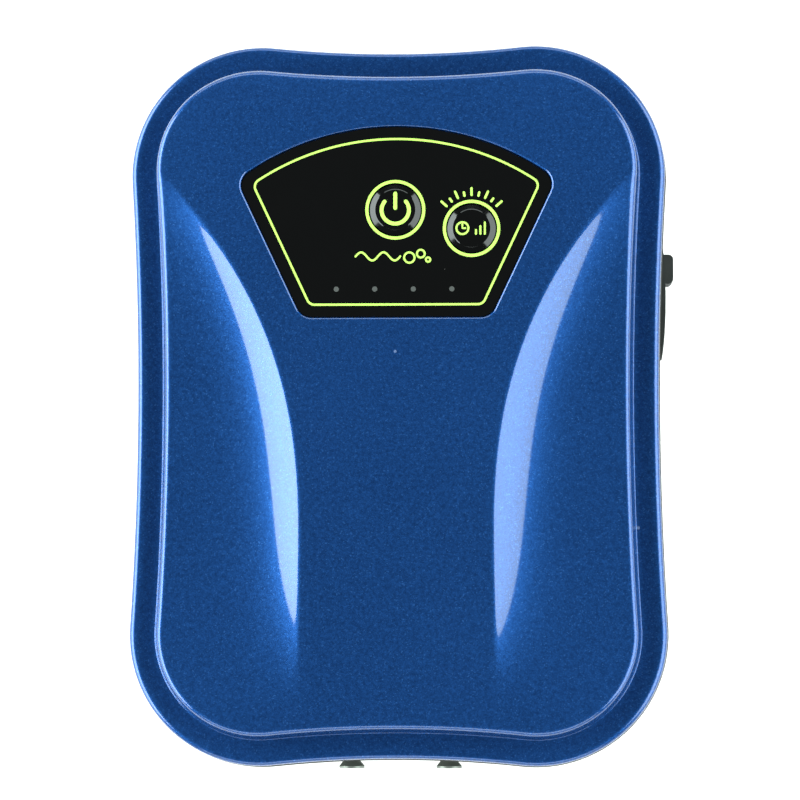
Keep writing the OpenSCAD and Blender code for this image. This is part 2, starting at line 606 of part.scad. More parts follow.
// ---------------------------------------------------------------- battery
module along_cells() rotate([0, 90, 0]) children();
module cell(y) translate([cell_x0, y, cell_z]) along_cells() {
    cylinder(r = cell_r, h = cell_l - nipple_h);
    translate([0, 0, cell_l - nipple_h - 0.1]) cylinder(r = 3, h = nipple_h + 0.1);
}
module battery_cell_upper() color([0.1, 0.35, 0.2]) cell(cell_upper_y);
module battery_cell_lower() color([0.1, 0.35, 0.2]) cell(cell_lower_y);
module battery_cradle() color([0.15, 0.15, 0.16]) difference() {
    block([cell_x0 + 3, cell_x1 - 3], [cell_lower_y - cell_r - 1, cell_upper_y + cell_r + 1],
        [floor_z, cell_z - 2]);
    for (y = [cell_lower_y, cell_upper_y]) translate([cell_x0, y, cell_z])
        along_cells() cylinder(r = cell_r + 0.1, h = cell_l);
}
module battery_tabs() color([0.75, 0.75, 0.75]) {
    block([cell_x0 - tab_t, cell_x0], [cell_lower_y - 4, cell_upper_y + 4], [cell_z - 4, cell_z + 4]);
    for (y = [cell_lower_y, cell_upper_y])
        block([cell_x1, cell_x1 + tab_t], [y - 4, y + 4], [cell_z - 4, cell_z + 5]);
}
module strap_shape(r) {
    for (y = [cell_lower_y, cell_upper_y]) translate([y, cell_z]) circle(r = r);
    translate([cell_lower_y, cell_z - r]) square([cell_pitch, 2 * r]);
}
module battery_strap() color([0.12, 0.12, 0.12])
    translate([cell_x0 + 14, 0, 0]) rotate([90, 0, 90]) linear_extrude(12) intersection() {
        difference() {
            strap_shape(cell_r + 1);
            strap_shape(cell_r + 0.1);
        }
        translate([cell_lower_y - 2 * cell_r, cell_z - 1.9]) square([cell_pitch + 4 * cell_r, 4 * cell_r]);
    }

// Wires: a smooth curve through a few points, swept with a round section
wire_sides = 8;
wire_steps = 5;
wire_r = 0.6;
end_gap = 0.02;           // from a wire's end to the piece it is soldered or plugged to
function spline(a, b, c, d, t) = 0.5 * (2 * b + (c - a) * t + (2 * a - 5 * b + 4 * c - d) * t * t
    + (3 * b - a - 3 * c + d) * t * t * t);
function route(p) = let (n = len(p) - 1) concat(
    [for (i = [0 : n - 1], s = [0 : wire_steps - 1])
        spline(p[max(i - 1, 0)], p[i], p[i + 1], p[min(i + 2, n)], s / wire_steps)], [p[n]]);
function unit(v) = v / norm(v);
function heading(path, points, i) =
    i == 0 ? unit(points[1] - points[0])
    : i == len(path) - 1 ? unit(points[len(points) - 1] - points[len(points) - 2])
    : unit(path[i + 1] - path[i - 1]);
module wire(points) {
    path = route(points);
    level = [0.31, 0.93, 0.19];
    skin([for (i = [0 : len(path) - 1])
        let (h = heading(path, points, i), side = unit(cross(h, level)), up = cross(h, side))
            [for (k = [0 : wire_sides - 1]) let (a = 360 * k / wire_sides)
                path[i] + wire_r * (cos(a) * side + sin(a) * up)]], path[0], path[len(path) - 1]);
}
module battery_leads() color([0.6, 0.05, 0.05]) for (k = [0, 1]) {
    y = k == 0 ? cell_lower_y : cell_upper_y;
    x = connector_xs[1] - 1.2 + 2.4 * k;
    side = connector_y - 5 + 9.5 * k;
    low = connector_low - end_gap;
    wire([[cell_x1 + tab_t + end_gap, y, cell_z + 2], [cell_x1 + 2.5, y, cell_z + 2],
        [cell_x1 + 3, y + 1 - 2 * k, cell_z + 8], [cell_x1 - 3, side, cell_z + 11],
        [x + 3, connector_y - 2 + 4.5 * k, low - 1.8], [x, connector_y, low - 1.8], [x, connector_y, low]]);
}
module coil_leads() color([0.8, 0.5, 0.1]) for (k = [-1, 1]) {
    x = connector_xs[0] + 1.2 * k;
    low = connector_low - end_gap;
    winding_top = drive_z + coil_r - 0.5 + end_gap;
    wire([[1.5 * k, coil_y, winding_top], [1.5 * k, coil_y, winding_top + 1.5],
        [1.6 * k, coil_y + 5, winding_top + 2.7], [-2 + 1.5 * k, pivot_y - 4, winding_top + 3.1],
        [x, connector_y - 9, low - 1.4], [x, connector_y, low - 1.8], [x, connector_y, low]]);
}
module charge_leads() color([0.1, 0.1, 0.1]) for (k = [-1, 1]) {
    x = connector_xs[2] + 1.2 * k;
    y = port_y + 1.5 * k;
    low = connector_low - end_gap;
    start = charge_board_x[0] + 1;
    drop = 2.3 - 0.5 * k;
    wire([[start, y, charge_board_z + end_gap], [start, y, charge_board_z + 2.5],
        [start - 4, y, charge_board_z + 9], [x + 4, connector_y + 2 * k, low - drop - 0.3],
        [x, connector_y, low - drop], [x, connector_y, low]]);
}

// ---------------------------------------------------------------- pump drive
module pump_bracket() color([0.7, 0.71, 0.72]) difference() {
    union() {
        block([-bracket_x, bracket_x], [head_low_y, pivot_y + barrel_r + 3],
            [bracket_z, bracket_z + bracket_t]);
        for (s = [-1, 1]) block([s * 9.5 - 1.5, s * 9.5 + 1.5], [coil_y - 5.1, coil_y + 5.1],
            [bracket_z, drive_z - coil_r + 0.6]);
    }
    at_points(damper_at) translate([0, 0, bracket_z - 1]) cylinder(r = damper_r - 0.7, h = bracket_t + 2);
    for (s = [-1, 1]) translate([s * arm_mid, pivot_y, bracket_z - 1]) cylinder(r = pin_r, h = 20);
    translate([0, coil_y, drive_z]) rotate([0, 90, 0])
        cylinder(r = coil_r + fit_gap, h = 2 * bobbin_half + 0.4, center = true);
}
module damper_grommets() color([0.05, 0.05, 0.05])
    at_points(damper_at) translate([0, 0, bracket_z - 0.4]) rotate_extrude()
        polygon([[1.1, 0], [damper_r, 0], [damper_r, 0.4], [damper_r - 0.75, 0.4],
            [damper_r - 0.75, bracket_t + 0.4], [damper_r, bracket_t + 0.4],
            [damper_r, bracket_t + 1.2], [1.1, bracket_t + 1.2]]);
module bracket_screws() color([0.6, 0.6, 0.62]) at_points(damper_at) {
    translate([0, 0, bracket_z + bracket_t + 2.2]) mirror([0, 0, 1]) cross_head(2.4, 1.4, 0.7);
    translate([0, 0, floor_z + 0.6]) cylinder(r = 0.8, h = bracket_z + bracket_t + 0.9 - floor_z - 0.6);
}
module coil_core() color([0.35, 0.36, 0.38]) translate([0, coil_y, drive_z])
    for (k = [-2 : 2]) translate([0, 0, 1.6 * k]) cube([2 * core_half, 8, 1.58], center = true);
module coil_bobbin() color([0.88, 0.87, 0.82])
    translate([-bobbin_half, coil_y, drive_z]) rotate([0, 90, 0]) difference() {
        union() {
            for (z = [0, 2 * bobbin_half - 1.2]) translate([0, 0, z]) cylinder(r = coil_r, h = 1.2);
            cylinder(r = 6.4, h = 2 * bobbin_half);
        }
        translate([0, 0, bobbin_half]) cube([8.2, 8.2, 2 * bobbin_half + 2], center = true);
    }
module coil_winding() color([0.72, 0.42, 0.16])
    translate([1.25 - bobbin_half, coil_y, drive_z]) rotate([0, 90, 0])
        tube(coil_r - 0.5, 6.45, 2 * bobbin_half - 2.5);

module head(s) difference() {
    union() {
        translate([s * (head_gap + head_w / 2), head_y, drive_z])
            cube([head_w, head_l, 2 * head_half_h], center = true);
        along_y(s * nozzle_gap / 2, drive_z, head_low_y + 0.1) cylinder(r = tail_r, h = 3.8);
    }
    translate([s * (head_face - chamber_d - plate_d), head_y, drive_z]) rotate([0, s * 90, 0]) {
        cylinder(r = chamber_r, h = chamber_d + plate_d + 1);
        for (t = [-1, 1]) translate([0, t * valve_offset, -2 * duct_depth])
            cylinder(r = 2.2, h = 2 * duct_depth + 0.6);
    }
    along_y(s * nozzle_gap / 2, drive_z, head_y - valve_offset) cylinder(r = air_bore_r, h = head_l);
    along_y(s * nozzle_gap / 2, drive_z, head_low_y + head_l + 1)
        cylinder(r = air_bore_r, h = head_l / 2 - valve_offset);
}
module left_head() color([0.9, 0.9, 0.88]) head(-1);
module right_head() color([0.9, 0.9, 0.88]) head(1);
module valve_plates() color([0.2, 0.2, 0.22]) for (s = [-1, 1])
    translate([s * (head_face - chamber_d - plate_d + 0.05), head_y, drive_z]) rotate([0, s * 90, 0])
        difference() {
            cylinder(r = chamber_r - 0.1, h = plate_d - 0.1);
            for (t = [-1, 1], a = [0, 90, 180, 270]) translate([0, t * valve_offset, -1]) rotate(a + 45)
                translate([1.3, 0, 0]) cylinder(r = 0.45, h = 4);
        }
module valve_flaps() color([0.7, 0.25, 0.1]) for (s = [-1, 1])
    translate([s * (head_face - chamber_d - plate_d), head_y, drive_z]) rotate([0, s * 90, 0]) {
        translate([0, valve_offset, plate_d + 0.05]) cylinder(r = 2, h = 0.5);
        translate([0, -valve_offset, -0.55]) cylinder(r = 2, h = 0.5);
    }
module diaphragm(s) translate([s * head_face, head_y, drive_z]) rotate([0, s * 90, 0]) {
    reach = arm_in - head_face;
    rotate_extrude() polygon([[chamber_r - 1.4, 0.02], [diaphragm_r, 0.02], [diaphragm_r, 1.4],
        [chamber_r + 0.9, 1.4], [chamber_r + 0.3, 3.1], [chamber_r - 1, 3.6], [4.8, 2.4], [4.2, 2.6],
        [3.8, reach - 0.02], [0.9, reach - 0.02], [0.9, reach - 3.4], [3, reach - 4.2], [3.9, 1.6],
        [4.9, 1.2], [chamber_r - 1.2, 2.4], [chamber_r - 0.6, 1.6]]);
}
module left_diaphragm() color([0.08, 0.08, 0.08]) diaphragm(-1);
module right_diaphragm() color([0.08, 0.08, 0.08]) diaphragm(1);
module arm(s) difference() {
    union() {
        block(s > 0 ? [arm_in, arm_in + arm_t] : [-arm_in - arm_t, -arm_in], [head_y - 8, pivot_y],
            [drive_z - arm_half_h, drive_z + arm_half_h]);
        translate([s * arm_mid, pivot_y, drive_z - arm_half_h]) cylinder(r = barrel_r, h = 2 * arm_half_h);
    }
    translate([s * arm_mid, pivot_y, drive_z - 2 * arm_half_h])
        cylinder(r = pin_r + pin_gap, h = 4 * arm_half_h);
    translate([s * (arm_in - 1), head_y, drive_z]) rotate([0, s * 90, 0]) cylinder(r = 0.9, h = arm_t + 2);
}
module left_arm() color([0.55, 0.56, 0.58]) arm(-1);
module right_arm() color([0.55, 0.56, 0.58]) arm(1);
module magnet(s) translate([s * (arm_in - magnet_t), coil_y, drive_z]) rotate([0, s * 90, 0])
    cylinder(r = magnet_r, h = magnet_t);
module left_magnet() color([0.8, 0.8, 0.82]) magnet(-1);
module right_magnet() color([0.8, 0.8, 0.82]) magnet(1);
module arm_screw(s) translate([s * (arm_in + arm_t), head_y, drive_z]) rotate([0, s * 90, 0]) {
    mirror([0, 0, 1]) translate([0, 0, -1.2]) cross_head(2, 1.2, 0.6);
    translate([0, 0, -arm_t - 3]) cylinder(r = 0.8, h = arm_t + 3.1);
}
module left_arm_screw() color([0.6, 0.6, 0.62]) arm_screw(-1);
module right_arm_screw() color([0.6, 0.6, 0.62]) arm_screw(1);
module arm_pivot_pins() color([0.75, 0.75, 0.77])
    for (s = [-1, 1]) translate([s * arm_mid, pivot_y, bracket_z]) {
        cylinder(r = pin_r, h = pin_top - bracket_z);
        translate([0, 0, bracket_t])
            cylinder(r = pin_r + 1.2, h = drive_z - arm_half_h - 0.3 - bracket_z - bracket_t);
    }
module pivot_clips() color([0.3, 0.3, 0.32]) for (s = [-1, 1])
    translate([s * arm_mid, pivot_y, drive_z + arm_half_h + 0.3]) tube(3, pin_r, 0.8);

front_shell();
rear_shell();
shell_seal();
control_panel();
power_button_cap();
timer_button_cap();
light_guide();
port_cover();
port_cover_anchor();
outlet_nozzle_left();
outlet_nozzle_right();
nozzle_grommet_left();
nozzle_grommet_right();
rubber_feet();
case_screws();
intake_felt();
intake_retainer();
main_board();
board_screws();
board_chips();
board_connectors();
power_switch_body();
timer_switch_body();
power_switch_plunger();
timer_switch_plunger();
indicator_leds();
charge_board();
charge_board_screws();
charge_socket();
battery_cradle();
battery_cell_upper();
battery_cell_lower();
battery_tabs();
battery_strap();
battery_leads();
coil_leads();
charge_leads();
pump_bracket();
damper_grommets();
bracket_screws();
coil_core();
coil_bobbin();
coil_winding();
left_head();
right_head();
valve_plates();
valve_flaps();
left_diaphragm();
right_diaphragm();
left_arm();
right_arm();
left_magnet();
right_magnet();
left_arm_screw();
right_arm_screw();
arm_pivot_pins();
pivot_clips();
outlet_hoses();
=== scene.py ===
"""Portable twin-outlet aquarium air pump: smooth shells, printed panel marks and finishes."""
import json
import math

import bmesh
import bpy
from mathutils import Matrix, Vector


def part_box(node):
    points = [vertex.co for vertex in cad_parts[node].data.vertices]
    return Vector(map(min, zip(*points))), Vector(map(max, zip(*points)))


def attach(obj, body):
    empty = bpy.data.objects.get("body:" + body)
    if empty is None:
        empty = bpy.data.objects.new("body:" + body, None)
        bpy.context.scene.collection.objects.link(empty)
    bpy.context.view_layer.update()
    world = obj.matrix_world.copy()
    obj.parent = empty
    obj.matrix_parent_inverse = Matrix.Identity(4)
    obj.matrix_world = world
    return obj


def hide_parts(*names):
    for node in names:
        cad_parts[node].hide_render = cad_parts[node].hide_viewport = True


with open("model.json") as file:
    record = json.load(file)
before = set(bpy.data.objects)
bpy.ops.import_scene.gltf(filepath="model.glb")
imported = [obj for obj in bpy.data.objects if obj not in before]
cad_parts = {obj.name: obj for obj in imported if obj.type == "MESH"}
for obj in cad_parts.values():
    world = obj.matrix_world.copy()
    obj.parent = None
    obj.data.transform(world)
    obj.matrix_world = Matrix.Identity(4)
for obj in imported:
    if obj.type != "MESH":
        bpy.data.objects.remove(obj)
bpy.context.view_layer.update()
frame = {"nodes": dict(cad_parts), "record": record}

bl_info = {
    "name": "Aquarium Air Pump",
    "version": (1, 0, 0),
    "blender": (4, 5, 0),
    "location": "3D View > Sidebar > Air Pump",
    "description": "Builds the case skins, the printed marks and the finishes of a battery air pump",
    "category": "Object",
}

MM = 0.001
NODES = frame["nodes"]
PANEL_LOW, PANEL_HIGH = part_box("control_panel")
SEAL_LOW, SEAL_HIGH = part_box("shell_seal")
BACK_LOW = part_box("rear_shell")[0]
FEET_LOW, FEET_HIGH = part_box("rubber_feet")
POWER_LOW, POWER_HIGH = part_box("power_button_cap")
TIMER_LOW, TIMER_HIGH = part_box("timer_button_cap")
BUTTON_FLANGE = 1.1 * MM


def middle(low, high):
    return (low + high) / 2


# ------------------------------------------------------------------ settings
def length(name, description, value):
    """A size that a user can change: given in millimetres, kept in metres."""
    return bpy.props.FloatProperty(name=name, description=description, default=value * MM, unit="LENGTH",
                                   precision=5, min=0)


def share(name, description, value):
    return bpy.props.FloatProperty(name=name, description=description, default=value, min=0)


def colour(name, description, value):
    return bpy.props.FloatVectorProperty(name=name, description=description, subtype="COLOR", size=4,
                                         min=0, max=1, default=(*value, 1))


class CaseSettings(bpy.types.PropertyGroup):
    """Outline and edges of the two case shells."""
    width: length("Width", "Width over the widest points", 104.2)
    length: length("Length", "Length over the longest points", 140.2)
    side_pinch: length("Side pinch", "How far each long side curves in", 1.4)
    end_pinch: length("End pinch", "How far each end curves in", 1.4)
    corner: length("Corner radius", "Radius of the four corners", 25.4)
    wall: length("Wall", "Thickness of both shells", 2.4)
    ledge: length("Ledge width", "Ledge round the raised front", 5.1)
    ledge_height: length("Ledge height", "Height of the ledge over the table", 33)
    height: length("Height", "Height of the raised front", 42)
    edge: length("Outer rounding", "Rounding of the front shell's outer edge", 1.2)
    lip: length("Inner rounding", "Rounding of the raised front's edge", 1.15)
    lean: length("Step lean", "Lean of the raised front's wall", 0.7)
    back_edge: length("Back rounding", "Rounding of the rear shell's edge", 5)
    back_lean: length("Side draft", "How far the rear shell tapers in", 0.5)


class ReliefSettings(bpy.types.PropertyGroup):
    """The ridge and the two scoops of the front."""
    ridge: length("Ridge width", "Width of the ridge at its neck", 37.4)
    ridge_top: length("Ridge top width", "Width of the ridge at its wide end", 79.5)
    scoop: length("Scoop depth", "Depth of the scoops beside the ridge", 5.6)
    run: length("Scoop run", "Run over which a scoop falls", 6.8)
    foot_fall: length("Foot fall", "Fall of the ridge towards the outlets", 4)
    head_fall: length("Head fall", "Fall of the ridge towards the panel end", 1.6)
    crease: length("Crease rounding", "Rounding of the ridge's two edges", 0.3)
    rise: share("Scoop rise", "Share of a scoop's depth that it regains at its outer side", 0.22)
    head_end: share("Head end", "How bluntly the scoops end by the panel; lower is blunter", 0.62)
    foot_end: share("Foot end", "How bluntly the scoops end by the outlets; lower is blunter", 0.92)


class MarkSettings(bpy.types.PropertyGroup):
    """Printed marks of the control panel."""
    ink: colour("Ink", "Colour of the printed marks", (0.40, 0.66, 0.11))
    top_width: length("Panel top width", "Panel width at its upper corners", 61.1)
    low_width: length("Panel low width", "Panel width at its lower edge", 36.2)
    arc: length("Panel arc", "Radius of the panel's upper edge", 51)
    corner: length("Panel corner", "Radius of the panel's corners", 3)
    border: length("Border inset", "From the panel's edge to the border line", 2.32)
    line: length("Border line", "Width of the border line", 0.42)
    ring: length("Ring width", "Width of the rings round the buttons", 0.60)
    stroke: length("Symbol stroke", "Width of the power symbol's lines", 0.74)
    fine: length("Fine stroke", "Width of the fine symbols' lines", 0.38)
    ink_height: length("Ink height", "Thickness of the printed ink", 0.03)


class FinishSettings(bpy.types.PropertyGroup):
    """Colours of the main finishes."""
    lacquer: colour("Lacquer", "Body colour of the front shell", (0.0145, 0.082, 0.30))
    lacquer_deep: colour("Deep lacquer", "Darker tone between the flakes", (0.0038, 0.028, 0.115))
    back: colour("Back", "Colour of the rear shell", (0.010, 0.011, 0.0105))
    rubber: colour("Cover rubber", "Colour of the port cover", (0.008, 0.009, 0.008))


class StageSettings(bpy.types.PropertyGroup):
    """Camera, floor and lights."""
    distance: length("Camera distance", "From the case's middle to the camera", 650)
    view_width: length("View width", "What the picture's width takes in", 156)
    tilt: bpy.props.FloatProperty(name="Tilt", description="Lean of the view towards the outlets",
                                  subtype="ANGLE", default=math.radians(4))
    swing: bpy.props.FloatProperty(name="Swing", description="Lean of the view towards the port side",
                                   subtype="ANGLE", default=math.radians(2))
    side_power: bpy.props.FloatProperty(name="Side lights", description="Power of the side strips, in watts",
                                        default=11)


GROUPS = {"pump_case": CaseSettings, "pump_relief": ReliefSettings, "pump_marks": MarkSettings,
          "pump_finish": FinishSettings, "pump_stage": StageSettings}


def setting_names(group):
    return [name for name in group.bl_rna.properties.keys() if name not in ("name", "rna_type")]


# ------------------------------------------------------------------ node graphs
class Field:
    """A number socket that can be used in sums; each operator adds a Math node."""

    def __init__(self, graph, socket):
        self.graph = graph
        self.socket = socket

    def math(self, operation, *values):
        return self.graph.node("ShaderNodeMath", {"operation": operation}, values)

    def __add__(self, other): return self.math("ADD", self, other)
    def __sub__(self, other): return self.math("SUBTRACT", self, other)
    def __rsub__(self, other): return self.math("SUBTRACT", other, self)
    def __mul__(self, other): return self.math("MULTIPLY", self, other)
    def __truediv__(self, other): return self.math("DIVIDE", self, other)
    def __rtruediv__(self, other): return self.math("DIVIDE", other, self)
    def __neg__(self): return self.math("MULTIPLY", self, -1)
    def __pow__(self, other): return self.math("POWER", self, other)
    def __gt__(self, other): return self.math("GREATER_THAN", self, other)
    def __lt__(self, other): return self.math("LESS_THAN", self, other)
    __radd__ = __add__
    __rmul__ = __mul__

    def least(self, other): return self.math("MINIMUM", self, other)
    def most(self, other): return self.math("MAXIMUM", self, other)
    def size(self): return self.math("ABSOLUTE", self)
    def floor(self): return self.math("FLOOR", self)
    def part(self): return self.math("FRACT", self)
    def root(self): return self.math("SQRT", self)
    def sine(self): return self.math("SINE", self)
    def cosine(self): return self.math("COSINE", self)
    def power_of_e(self): return self.math("EXPONENT", self)
    def turn_from(self, other): return self.math("ARCTAN2", self, other)

    def between(self, low, high):
        """0 below low, 1 above high, smooth in between."""
        t = ((self - low) / (high - low)).most(0).least(1)
        return t * t * (3 - 2 * t)


class Graph:
    """A node tree that is written as expressions."""

    def __init__(self, tree):
        self.tree = tree

    def node(self, kind, settings=None, values=(), out=0):
        """Adds a node, sets its settings, then the values or links of its sockets."""
        made = self.tree.nodes.new(kind)
        for name, value in (settings or {}).items():
            setattr(made, name, value)
        pairs = values.items() if isinstance(values, dict) else enumerate(values)
        for key, value in pairs:
            if isinstance(value, Field):
                self.tree.links.new(value.socket, made.inputs[key])
            elif value is not None:
                made.inputs[key].default_value = value
        return Field(self, made.outputs[out]) if made.outputs else made

    def other(self, field, out):
        """Another output of the node that a field comes from."""
        return Field(self, field.socket.node.outputs[out])


def choose(condition, yes, no):
    """yes where condition is 1, no where it is 0."""
    return condition * yes + (1 - condition) * no


# ------------------------------------------------------------------ geometry node trees
def new_geometry_tree(name, inputs):
    """A geometry tree with a mesh in and out and named number inputs."""
    tree = bpy.data.node_groups.new(name, "GeometryNodeTree")
    tree.interface.new_socket("Geometry", in_out="INPUT", socket_type="NodeSocketGeometry")
    tree.interface.new_socket("Geometry", in_out="OUTPUT", socket_type="NodeSocketGeometry")
    for label, kind in inputs.items():
        tree.interface.new_socket(label, in_out="INPUT", socket_type="NodeSocket" + kind)
    graph = Graph(tree)
    source = tree.nodes.new("NodeGroupInput")
    fields = {s.name: Field(graph, s) for s in source.outputs if s.name}
    return graph, fields


def join(graph, *items):
    joined = graph.node("GeometryNodeJoinGeometry")
    for item in items:
        graph.tree.links.new(item.socket, joined.socket.node.inputs[0])
    return joined


def end_tree(graph, geometry, material):
    """Realize Instances and Set Material, then the tree's output."""
    real = graph.node("GeometryNodeRealizeInstances", None, [geometry])
    painted = graph.node("GeometryNodeSetMaterial", None, {"Geometry": real, "Material": material})
    sink = graph.tree.nodes.new("NodeGroupOutput")
    graph.tree.links.new(painted.socket, sink.inputs[0])


def run_tree(obj, graph, values):
    """Puts a tree on an object, sets its inputs by identifier and returns the plain mesh."""
    modifier = obj.modifiers.new(graph.tree.name, "NODES")
    modifier.node_group = graph.tree
    for item in graph.tree.interface.items_tree:
        if item.in_out == "INPUT" and item.name in values:
            modifier[item.identifier] = values[item.name]
    bpy.context.view_layer.update()
    evaluated = obj.evaluated_get(bpy.context.evaluated_depsgraph_get())
    mesh = bpy.data.meshes.new_from_object(evaluated)
    obj.modifiers.remove(modifier)
    return mesh


def add_object(name, mesh):
    obj = bpy.data.objects.new(name, mesh)
    bpy.context.scene.collection.objects.link(obj)
    return obj


def remove_object(obj):
    data = obj.data
    bpy.data.objects.remove(obj)
    if isinstance(data, bpy.types.Mesh):
        bpy.data.meshes.remove(data)
    else:
        bpy.data.curves.remove(data)


def smooth(mesh, degrees=32):
    """Smooth shading with sharp edges over a limit."""
    mesh.polygons.foreach_set("use_smooth", [True] * len(mesh.polygons))
    mesh.set_sharp_from_angle(angle=math.radians(degrees))


def ready_piece(name, mesh, body, slot, material, *nodes):
    """Turns a mesh into a smooth piece that rides on a body and stands for CAD nodes."""
    smooth(mesh)
    piece = add_object(name, mesh)
    mesh.materials.clear()
    mesh.materials.append(material)
    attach(piece, body)
    if nodes:
        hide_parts(*nodes)
    return piece


# ------------------------------------------------------------------ case skins
AROUND = 512
MIDDLE_Y = -5 * MM
RING_VALUES = ("inset", "level", "share", "on_front")


def outline_fields(f, around, inset):
    """The case outline at a share of the way around and an inset: corner arcs with inward arcs between."""
    corner_x = f["width"] / 2 - f["corner"]
    corner_y = f["length"] / 2 - f["corner"]

    def inward(pinch, span):
        near = f["corner"] - pinch
        return (near * near + span * span - f["corner"] * f["corner"]) / (2 * pinch)

    side_r = inward(f["side_pinch"], corner_y)
    end_r = inward(f["end_pinch"], corner_x)
    side_at = f["width"] / 2 - f["side_pinch"] + side_r
    end_at = f["length"] / 2 - f["end_pinch"] + end_r
    side_turn = corner_y.turn_from(side_at - corner_x)
    end_turn = corner_x.turn_from(end_at - corner_y)
    quarter = (around * 4).floor()
    odd = (quarter / 2).part() * 2
    w = choose(odd > 0.5, 1 - (around * 4).part(), (around * 4).part())
    side_share, corner_share = 0.34, 0.84
    a = side_turn * (w / side_share)
    side_x = side_at - (side_r + inset) * a.cosine()
    side_y = (side_r + inset) * a.sine()
    b = (side_turn + end_turn + math.pi / 2) * ((w - side_share) / (corner_share - side_share)) - side_turn
    round_x = corner_x + (f["corner"] - inset) * b.cosine()
    round_y = corner_y + (f["corner"] - inset) * b.sine()
    c = end_turn * ((1 - w) / (1 - corner_share))
    end_x = (end_r + inset) * c.sine()
    end_y = end_at - (end_r + inset) * c.cosine()
    on_side = w < side_share
    on_end = w > corner_share
    x = choose(on_side, side_x, choose(on_end, end_x, round_x))
    y = choose(on_side, side_y, choose(on_end, end_y, round_y))
    left = (quarter > 0.5) * (quarter < 2.5)
    low = quarter > 1.5
    return x * (1 - 2 * left), y * (1 - 2 * low)


def front_height(f, x, y):
    """Height of the sculpted front: the ridge less what the scoops take away."""
    half_l = f["length"] / 2
    neck_y, top_y, flare = -28 * MM, half_l - 32.4 * MM, 2.5
    head_y, foot_y, mid_y = half_l - 26 * MM, 11 * MM - half_l, -9 * MM
    outer_run = 25 * MM
    rate = (f["ridge_top"] - f["ridge"]) / 2 / (top_y - neck_y) ** flare
    crease_x = f["ridge"] / 2 + rate * (y - neck_y).most(0) ** flare
    head_roll, foot_roll = half_l - 20 * MM, -5 * MM
    head = (y - head_roll).most(0) / (half_l - f["inner_edge"] - head_roll)
    foot = (foot_roll - y).most(0) / (half_l - f["inner_edge"] + foot_roll)
    ridge = f["height"] - f["head_fall"] * head * head - f["foot_fall"] * foot * foot
    above = (y - mid_y) / (head_y - mid_y)
    below = (mid_y - y) / (mid_y - foot_y)
    along = choose(y > mid_y, above, below).most(0).least(1)
    depth = (along * (math.pi / 2)).cosine().most(0) ** choose(y > mid_y, f["head_end"], f["foot_end"])
    away = x.size() - crease_x
    beyond = (away + (away * away + f["crease"] * f["crease"]).root()) / 2
    fall = 1 - (-beyond / f["run"]).power_of_e() - f["rise"] * (beyond / outer_run) ** 2
    return ridge - f["scoop"] * depth * fall


def case_tree(labels):
    """Moves a plain tube of rings onto the case: each point carries its place as attributes."""
    g, f = new_geometry_tree("case_skin", {**dict.fromkeys(labels, "Float"), "Material": "Material"})

    def named(label):
        return g.node("GeometryNodeInputNamedAttribute", {"data_type": "FLOAT"}, {"Name": label})

    x, y = outline_fields(f, named("around"), named("inset"))
    share = named("share")
    x = x * share
    y = MIDDLE_Y + share * (y - MIDDLE_Y)
    z = named("level") + named("on_front") * front_height(f, x, y)
    place = g.node("ShaderNodeCombineXYZ", None, [x, y, z])
    moved = g.node("GeometryNodeSetPosition", None, {"Geometry": f["Geometry"], "Position": place})
    closed = g.node("GeometryNodeMergeByDistance", None, {"Geometry": moved, "Distance": 0.001 * MM})
    end_tree(g, closed, f["Material"])
    return g


def ring_tube(rings):
    """A tube of rings; each ring is a set of RING_VALUES."""
    count = len(rings)
    mesh = bpy.data.meshes.new("rings")
    faces = []
    for j in range(count - 1):
        for k in range(AROUND):
            a, b = j * AROUND + k, j * AROUND + (k + 1) % AROUND
            faces.append((a, b, b + AROUND, a + AROUND))
    mesh.from_pydata([(0, 0, 0)] * (count * AROUND), [], faces)
    columns = {"around": [k / AROUND for _ in rings for k in range(AROUND)]}
    for i, label in enumerate(RING_VALUES):
        columns[label] = [ring[i] for ring in rings for _ in range(AROUND)]
    for label, values in columns.items():
        mesh.attributes.new(label, "FLOAT", "POINT").data.foreach_set("value", values)
    return mesh


def fillet(steps, radius):
    """(sideways, down) along a quarter round that starts on a wall and ends on a flat top."""
    angles = [math.pi / 2 * k / steps for k in range(steps + 1)]
    return [(radius * (1 - math.cos(a)), radius * (1 - math.sin(a))) for a in angles]


